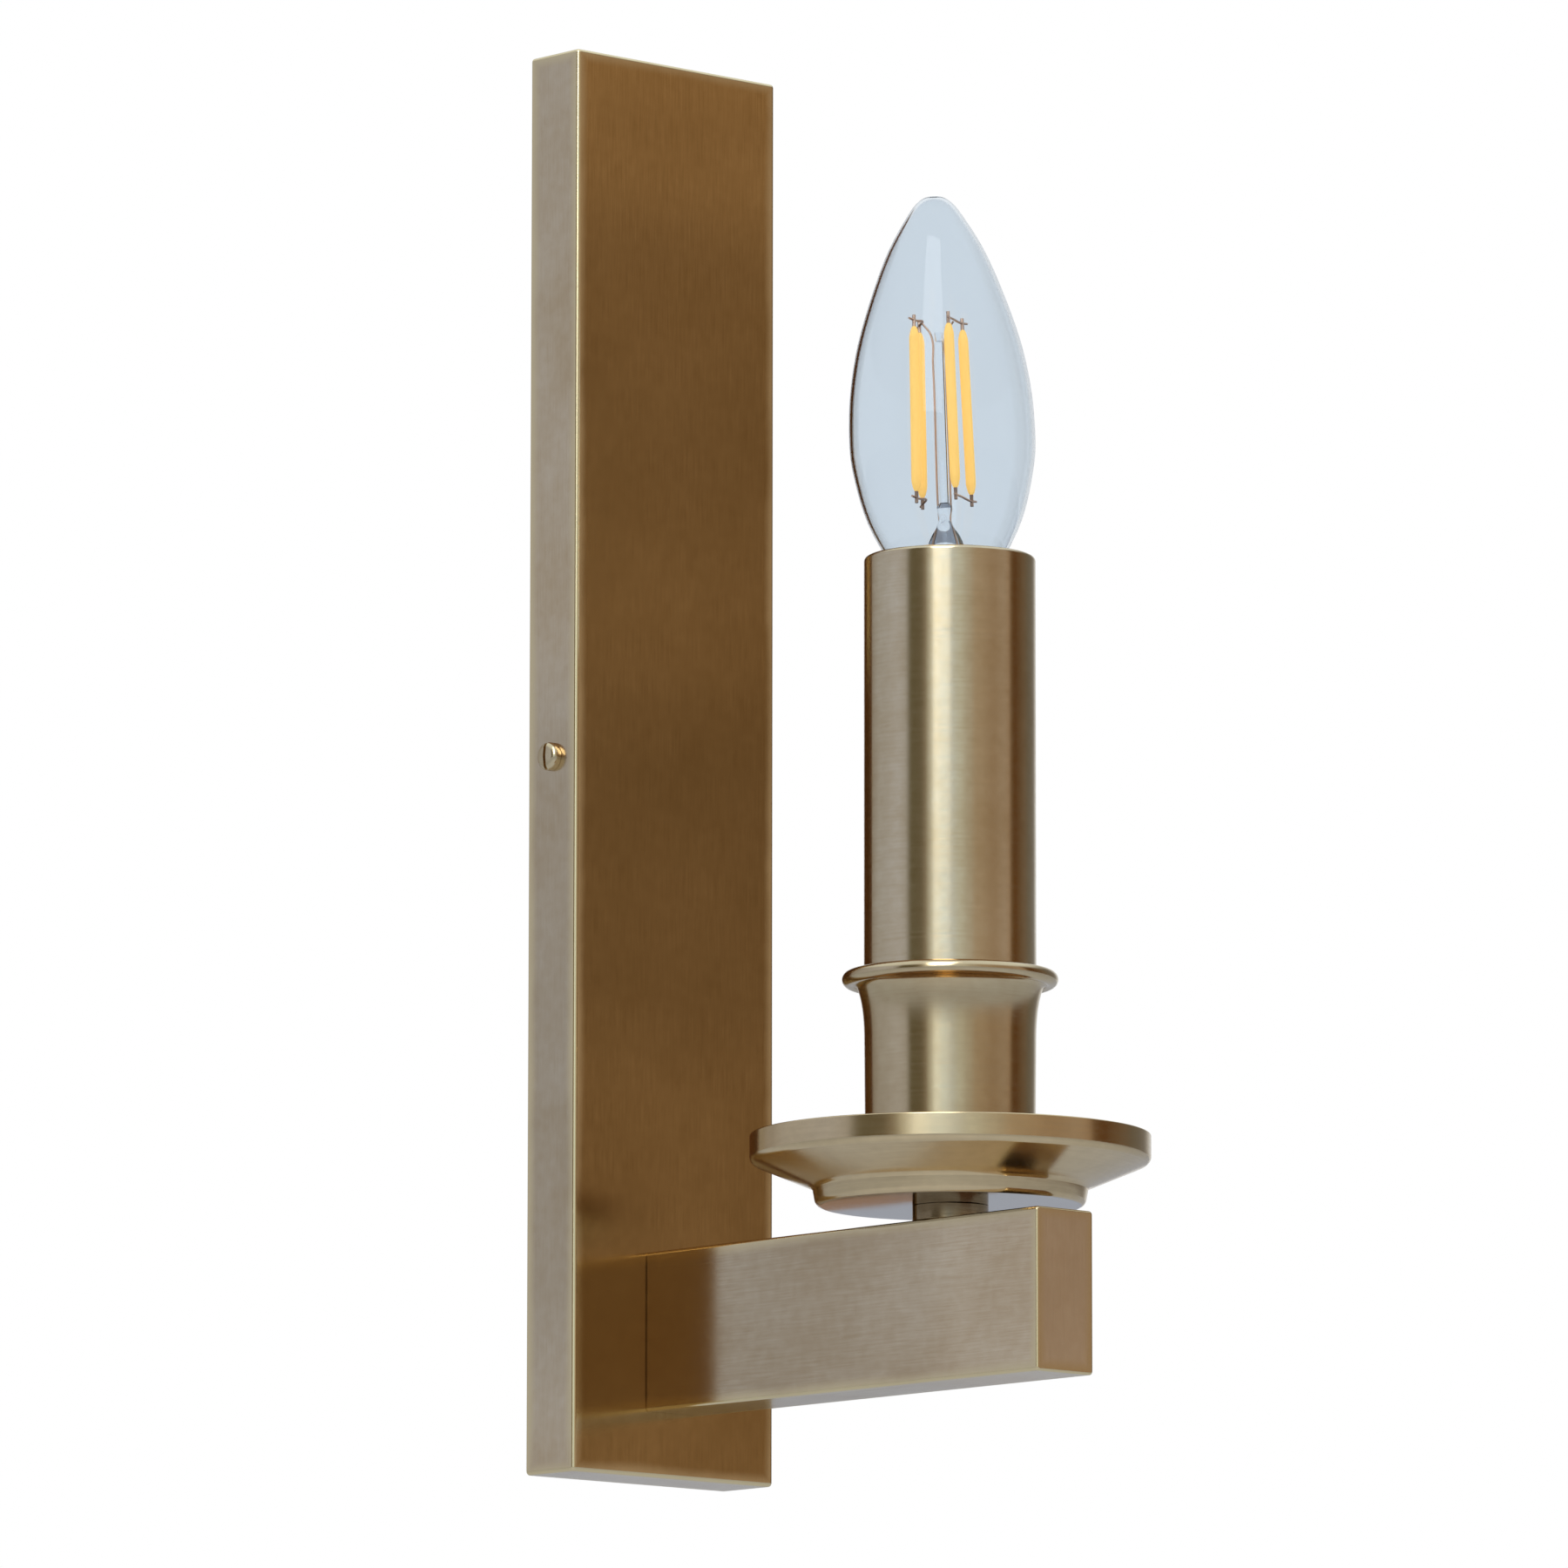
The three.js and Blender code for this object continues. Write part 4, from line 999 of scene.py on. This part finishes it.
def cup():
    bottom, top = bottom_and_top("candle_cup")
    bead_height = top - CUP_BEAD
    flare_low = bead_height - 1.5 - CUP_FLARE
    flare = []
    for step in range(FLARE_STEPS + 1):
        t = step / FLARE_STEPS
        radius = CUP_WAIST + 0.2 * t * (1 - t) + (CUP_THROAT - CUP_WAIST) * t * t
        flare.append((radius, flare_low + 12 * t * (1 - t) + CUP_FLARE * t * t))
    bead_centre = radius_of("candle_cup") - CUP_BEAD
    rolled = arc((bead_centre, bead_height), CUP_BEAD, -122, 92, 26)
    mouth = radius_of("candle_tube") + 0.25
    seat = bottom_and_top("candle_tube")[0]
    inner = CUP_BASE - 1.2
    profile = [
        (NIPPLE_HOLE, bottom), (CUP_BASE, bottom, 0.4), *flare, *rolled,
        (mouth + 0.6, bead_height + 1.15), (mouth, bead_height + 0.3), (mouth, seat),
        (inner, seat), (inner, bottom + CUP_FLOOR, 0.5), (NIPPLE_HOLE, bottom + CUP_FLOOR),
    ]
    return moved(lathe(profile, steps=128), candle_axis)


finish_piece(cup(), "candle_cup_turned", ["candle_cup"], cup_brass, sharp=50)

# %% [markdown]
# ## Candle tube, collar and washer
# Tube, collar and the washer inside the cup are plain rings, so what makes them look real is
# their edges: the tube's mouth is rolled over to almost a millimetre, the others are only broken.

# %% Candle tube, collar and washer


def ring(node_name, wall, outer_round, inner_round, steps=128):
    bottom, top = bottom_and_top(node_name)
    radius = radius_of(node_name)
    profile = [(radius - wall, bottom, 0.1), (radius, bottom, 0.2), (radius, top, outer_round),
               (radius - wall, top, inner_round)]
    return moved(lathe(profile, steps), candle_axis)


finish_piece(ring("candle_tube", 1.1, 0.8, 0.2), "candle_tube_turned", ["candle_tube"])
finish_piece(ring("collar", 2.95, 0.15, 0.1, 96), "collar_turned", ["collar"])
finish_piece(ring("cup_washer", 4.85, 0.2, 0.2, 64), "cup_washer_turned", ["cup_washer"])

# %% [markdown]
# ## Threads
# A thread is one small wave, carried round and up at the same time. Spin does that when it is
# given a rise for each step. The ragged ends are cut flat with a plane and closed.

# %% Threads


def thread(radius, depth, pitch, bottom, top, wave, steps):
    """An open threaded wall from bottom to top, in millimetres. One groove has wave steps."""
    mesh = bmesh.new()
    turns = math.ceil((top - bottom) / pitch) + 2
    points = []
    for index in range(wave + 1):
        sink = (1 - math.cos(math.tau * index / wave)) / 2
        points.append(mesh.verts.new((
            (radius - depth * sink) * MM, 0, (bottom - pitch + pitch * index / wave) * MM,
        )))
    for pair in zip(points, points[1:]):
        mesh.edges.new(pair)
    bmesh.ops.spin(mesh, geom=mesh.verts[:] + mesh.edges[:], cent=(0, 0, 0), axis=(0, 0, 1),
                   dvec=(0, 0, pitch * MM / steps), angle=math.tau * turns, steps=steps * turns)
    bmesh.ops.remove_doubles(mesh, verts=mesh.verts, dist=1e-6)
    for height, clear in ((bottom, "clear_inner"), (top, "clear_outer")):
        bmesh.ops.bisect_plane(mesh, geom=mesh.verts[:] + mesh.edges[:] + mesh.faces[:],
                               dist=1e-8, plane_co=(0, 0, height * MM), plane_no=(0, 0, 1),
                               **{clear: True})
    bmesh.ops.recalc_face_normals(mesh, faces=mesh.faces)
    return mesh


def threaded_rod(radius, pitch, bottom, top, steps=24):
    mesh = thread(radius, pitch * 0.5, pitch, bottom, top, 2, steps)
    bmesh.ops.holes_fill(mesh, edges=[edge for edge in mesh.edges if edge.is_boundary], sides=0)
    bmesh.ops.recalc_face_normals(mesh, faces=mesh.faces)
    return mesh


def nipple():
    bottom, top = bottom_and_top("threaded_nipple")
    rod = threaded_rod(4.0, 1.0, bottom, top, 32)
    bore = round_bar(2.8, Vector((0, 0, bottom - 1)) * MM, Vector((0, 0, top + 1)) * MM, 32)
    return moved(combined("DIFFERENCE", rod, bore), candle_axis)


finish_piece(nipple(), "nipple_threaded", ["threaded_nipple"], sharp=60)

# %% [markdown]
# ## Side screws
# Two slotted screws pull the plate against its bracket. Each has a low domed head, a slot that
# stands upright, and a fine thread that is seen as soon as it is undone. Head and shank are
# welded into one body before the slot is cut, and the right one is the left one turned half round.

# %% Side screws


def side_screw(node_name, side):
    reach = max(abs(low(node_name).x), abs(high(node_name).x)) / MM
    length = (high(node_name).x - low(node_name).x) / MM
    head = (high(node_name).z - low(node_name).z) / 2 / MM
    seat = reach - 2.1
    dome = lathe([
        (0, seat), (head, seat, 0.1), (head, seat + 1.15, 0.35), (head * 0.82, seat + 1.85, 0.5),
        (0, reach),
    ], steps=64, closed=False)
    shank = threaded_rod(2.0, 0.7, reach - length, seat + 0.6)
    slot = box_between(Vector((-9, -0.35, reach - 0.9)) * MM, Vector((9, 0.35, reach + 3)) * MM)
    screw = combined("DIFFERENCE", combined("UNION", dome, shank), slot)
    turn = Matrix.Rotation(math.radians(90 * side), 3, "Y")
    bmesh.ops.rotate(screw, matrix=turn, verts=screw.verts)
    return moved(screw, Vector((0, middle(node_name).y, middle(node_name).z)))


for node_name, side in (("side_screw_left", -1), ("side_screw_right", 1)):
    finish_piece(side_screw(node_name, side), f"{node_name}_slotted", [node_name], screw_brass)

# %% [markdown]
# ## Hardware inside
# Bracket, terminal block, screws, blocks and lampholder are all but hidden when the light is up.
# Their working shapes are already right, so each one is a cleaned copy with softened edges.

# %% Hardware inside
SOFTENED = {
    "wall_bracket": 0.25, "terminal_block": 0.3, "arm_mount_block": 0.2, "thread_block": 0.2,
    "wire_bushing": 0.25, "cup_nut": 0.25, "lampholder_stalk": 0.25, "lampholder_body": 0.4,
    "lampholder_shell": 0.08, "lampholder_contact": 0.2, "cap_insulator": 0.2,
    "driver_board": 0.1, "bulb_contact_tip": 0.25, "bracket_earth_screw": 0.25,
    "terminal_block_screw": 0.15, "arm_screw_lower": 0.25, "arm_screw_upper": 0.25,
}
for pole in (1, 2, 3):
    SOFTENED[f"terminal_tube_{pole}"] = 0.1
    for end in "ab":
        SOFTENED[f"terminal_screw_{pole}{end}"] = 0.1
for node_name, radius in SOFTENED.items():
    mesh = cleaned(node_name, 1)
    soften(mesh, sharp_edges(mesh, 35), radius, 2)
    finish_piece(mesh, f"{node_name}_fine", [node_name])

# %% [markdown]
# ## Wires inside
# The wires keep the route of the working model. One level of subdivision makes their section
# round, and a crease holds their cut ends flat.

# %% Wires inside
for node_name in ("live_wire", "neutral_wire", "earth_wire"):
    mesh = cleaned(node_name, 0.4)
    crease = mesh.edges.layers.float.new("crease_edge")
    for edge in sharp_edges(mesh, 60):
        edge[crease] = 1.0
    finish_piece(mesh, f"{node_name}_round", [node_name], sharp=70,
                 modifier=("SUBSURF", {"levels": 1, "render_levels": 1}))

# %% [markdown]
# ## Lamp: how the glass stands
# The glass of a lamp is cemented into its cap by hand, and it is hardly ever quite straight.
# This one leans by nearly two degrees, so all that belongs to it is made upright about the
# lamp's own zero, the contact tip, and then tipped over together. The glass also needs flowing
# outlines, so a few points are joined by a smooth line here.

# %% Lean of the glass
LEAN = math.radians(1.9)
LEAN_TOWARDS = math.radians(137.8)
LEAN_PIVOT = 12 * MM


def in_the_glass(mesh):
    """Lifts a piece made about the lamp's own zero to its place and tips it with the glass."""
    hinge = Vector((-math.sin(LEAN_TOWARDS), math.cos(LEAN_TOWARDS), 0))
    moved(mesh, lamp_zero)
    bmesh.ops.rotate(mesh, cent=lamp_zero + Vector((0, 0, LEAN_PIVOT)),
                     matrix=Matrix.Rotation(LEAN, 3, hinge), verts=mesh.verts)
    return mesh


def smooth_line(points, between):
    """A smooth line through (radius, height) points, with this many steps between two."""
    line = []
    for index in range(len(points) - 1):
        a, b, c, d = (Vector(points[min(max(index + shift, 0), len(points) - 1)])
                      for shift in (-1, 0, 1, 2))
        for step in range(between):
            t = step / between
            place = (2 * b + (c - a) * t + (2 * a - 5 * b + 4 * c - d) * t ** 2
                     + (3 * b - a - 3 * c + d) * t ** 3) / 2
            line.append((max(place.x, 0), place.y))
    return [*line, points[-1]]


print("the glass leans", round(math.degrees(LEAN), 1), "degrees")

# %% [markdown]
# ## Lamp: glass and stem
# The bulb is blown, so its outline is one flowing line from the neck to a soft point. A dozen
# points and a smooth line through them give it, and a Solidify modifier gives it its real wall,
# without which it would refract like a solid marble. The stem inside is a glass flare that is
# pinched flat round the lead wires and carries a thin clear rod between the filaments.

# %% Glass and stem
GLASS_WALL = 0.6
GLASS_OUTLINE = [
    (7.0, 19.4), (7.05, 23.6), (9.3, 27.8), (14.4, 37.7), (16.9, 47.2), (17.5, 54),
    (16.9, 63.7), (14.7, 74.2), (9.9, 87.7), (5.3, 96.1), (2.6, 99.3), (0, 100.1),
]
STEM_OUTLINE = [(5.8, 21), (4.6, 26), (3.9, 31), (3.2, 34), (2.1, 36.4), (1.75, 38.4), (1.7, 40.2),
                (1.45, 40.9), (0.9, 41.4), (0.85, 43), (0.85, 71.7), (0.5, 72.2), (0, 72.3)]
STEM_HOLLOW = [(0, 31.5), (2.0, 30.6), (3.4, 27), (5, 21)]
PINCH_HEIGHT = 38.4
PINCH_REACH = 2.8
PINCH_TURN = math.radians(33)


def bulb():
    glass = in_the_glass(lathe(smooth_line(GLASS_OUTLINE, 5), closed=False))
    finish_piece(glass, "bulb_glass_blown", ["bulb_glass"], sharp=80, modifier=("SOLIDIFY", {
        "thickness": GLASS_WALL * MM, "offset": -1, "use_even_offset": True}))


def stem():
    mesh = lathe([*STEM_HOLLOW, *smooth_line(STEM_OUTLINE, 3)], steps=48, closed=False)
    for vert in mesh.verts:
        pinch = max(0.0, 1 - abs(vert.co.z / MM - PINCH_HEIGHT) / PINCH_REACH)
        vert.co.x *= 1 + 0.35 * pinch
        vert.co.y *= 1 - 0.45 * pinch
    bmesh.ops.rotate(mesh, matrix=Matrix.Rotation(PINCH_TURN, 3, "Z"), verts=mesh.verts)
    finish_piece(in_the_glass(mesh), "bulb_stem_drawn", ["bulb_stem"], stem_glass, sharp=80,
                 modifier=None)


bulb()
stem()

# %% [markdown]
# ## Lamp: filaments
# Four sticks stand in a ring, a little closer at the top. Each is a row of tiny chips under a
# waxy coat with tapered ends, held by two coppery pins, so one piece carries two finishes.

# %% Filaments
copper_pin = plain_metal("copper_pin", (0.72, 0.47, 0.33), (0.55, 0.36, 0.26), 900.0, (0.25, 0.4))
FILAMENT_FOOT = 43.3
FILAMENT_LENGTH = 31.5
RING_BOTTOM = 6.0
RING_TOP = 5.3
RING_ANGLES = [-12.2, 89.8, 167.8, 247.8]


def polar(radius, degrees, height):
    """A point in the lamp, from a radius and a height in millimetres and an angle."""
    angle = math.radians(degrees)
    return Vector((radius * math.cos(angle), radius * math.sin(angle), height)) * MM


def filament(number):
    length = FILAMENT_LENGTH
    mesh = lathe([
        (0, -2.2), (0.33, -2.2, 0.1), (0.35, 0.05), (0.62, 0.5, 0.2), (0.95, 1.9, 0.5),
        (0.95, length - 1.9, 0.5), (0.62, length - 0.5, 0.2), (0.35, length - 0.05),
        (0.33, length + 2.2, 0.1), (0, length + 2.2),
    ], steps=24, closed=False)
    for face in mesh.faces:
        centre = face.calc_center_median()
        face.material_index = int(math.hypot(centre.x, centre.y) < 0.38 * MM)
    angle = RING_ANGLES[number - 1]
    foot = polar(RING_BOTTOM, angle, FILAMENT_FOOT)
    head = polar(RING_TOP, angle, FILAMENT_FOOT + length)
    turn = Vector((0, 0, 1)).rotation_difference(head - foot).to_matrix()
    bmesh.ops.rotate(mesh, matrix=turn, verts=mesh.verts)
    finish_piece(in_the_glass(moved(mesh, foot)), f"filament_{number}_stick",
                 [f"filament_{number}"], phosphor_painted_glow, copper_pin, sharp=60)


for number in (1, 2, 3, 4):
    filament(number)

# %% [markdown]
# ## Lamp: thin wires
# Copper wire less than half a millimetre thick links the sticks and holds them up. Each wire is a
# curve with a round bevel, because only its route matters. It is turned into a mesh at once, so
# that it can be tipped over with the rest.

# %% Thin wires


def fine_wire(name, node_name, points, radius):
    data = bpy.data.curves.new("route", "CURVE")
    data.dimensions = "3D"
    data.bevel_depth = radius * MM
    data.bevel_resolution = 2
    data.use_fill_caps = True
    spline = data.splines.new("BEZIER")
    spline.bezier_points.add(len(points) - 1)
    for made, point in zip(spline.bezier_points, points):
        made.co = point
        made.handle_left_type = made.handle_right_type = "AUTO"
    route = bpy.data.objects.new("route", data)
    mesh = bmesh.new()
    mesh.from_mesh(bpy.data.meshes.new_from_object(route))
    bpy.data.objects.remove(route)
    bmesh.ops.remove_doubles(mesh, verts=mesh.verts, dist=1e-7)
    bmesh.ops.recalc_face_normals(mesh, faces=mesh.faces)
    finish_piece(in_the_glass(mesh), name, [node_name], copper_pin, sharp=60)


def thin_wires(side, first, second):
    """Two links between the ends of two filaments, and the support that carries the upper one."""
    between = (first + second) / 2
    low_link = FILAMENT_FOOT - 1.2
    high_link = FILAMENT_FOOT + FILAMENT_LENGTH + 1.2
    for place, radius, height in (("bottom", RING_BOTTOM, low_link), ("top", RING_TOP, high_link)):
        points = [(radius + 1.5, first - 6, height - 0.2), (radius - 0.5, first + 4, height),
                  ((radius - 1.2) * 0.72, between, height + 0.25),
                  (radius - 0.5, second - 4, height), (radius + 1.5, second + 6, height + 0.15)]
        node_name = f"filament_link_{place}_{side}"
        fine_wire(f"{node_name}_wire", node_name, [polar(*point) for point in points], 0.22)
    support = [(2.4, 27), (1.9, 33), (1.1, 37.5), (1.25, 41), (1.25, high_link - 8),
               (1.45, high_link - 2.5), (3.0, high_link - 0.2)]
    fine_wire(f"support_wire_{side}_drawn", f"support_wire_{side}",
              [polar(radius, between, height) for radius, height in support], 0.2)


thin_wires("left", *RING_ANGLES[1:3])
thin_wires("right", RING_ANGLES[3], RING_ANGLES[0] + 360)

# %% [markdown]
# ## Lamp: screw cap
# The cap is thin plated sheet rolled into a round thread. The thread is spun, cut flat at both
# ends, and its two open edges are drawn on: inwards to the lip that holds the black glass, and
# outwards to the skirt that holds the bulb.

# %% Screw cap
CAP_PITCH = 2.8222
CAP_WALL = 0.3


def drawn_on(mesh, edges, radius, height):
    """Extrudes an open edge ring and sets it to a radius and a height."""
    grown = bmesh.ops.extrude_edge_only(mesh, edges=edges)["geom"]
    for vert in (item for item in grown if isinstance(item, bmesh.types.BMVert)):
        flat = Vector((vert.co.x, vert.co.y)).normalized() * radius * MM
        vert.co = (flat.x, flat.y, height * MM)
    return [item for item in grown if isinstance(item, bmesh.types.BMEdge)]


def screw_cap():
    mesh = thread(6.95, 0.7, CAP_PITCH, 5.0, 17.4, 8, 48)
    ends = [edge for edge in mesh.edges if edge.is_boundary]
    lower = [edge for edge in ends if edge.verts[0].co.z < 10 * MM]
    upper = [edge for edge in ends if edge.verts[0].co.z > 10 * MM]
    drawn_on(mesh, drawn_on(mesh, lower, 6.6, 4.3), 6.1, 4.0)
    for radius, height in ((6.9, 17.8), (8.1, 18.4), (8.5, 18.9), (8.5, 24.0), (8.42, 24.4)):
        upper = drawn_on(mesh, upper, radius, height)
    bmesh.ops.recalc_face_normals(mesh, faces=mesh.faces)
    finish_piece(moved(mesh, lamp_zero), "bulb_cap_rolled", ["bulb_cap"], sharp=70,
                 modifier=("SOLIDIFY", {"thickness": CAP_WALL * MM, "offset": -1}))


screw_cap()
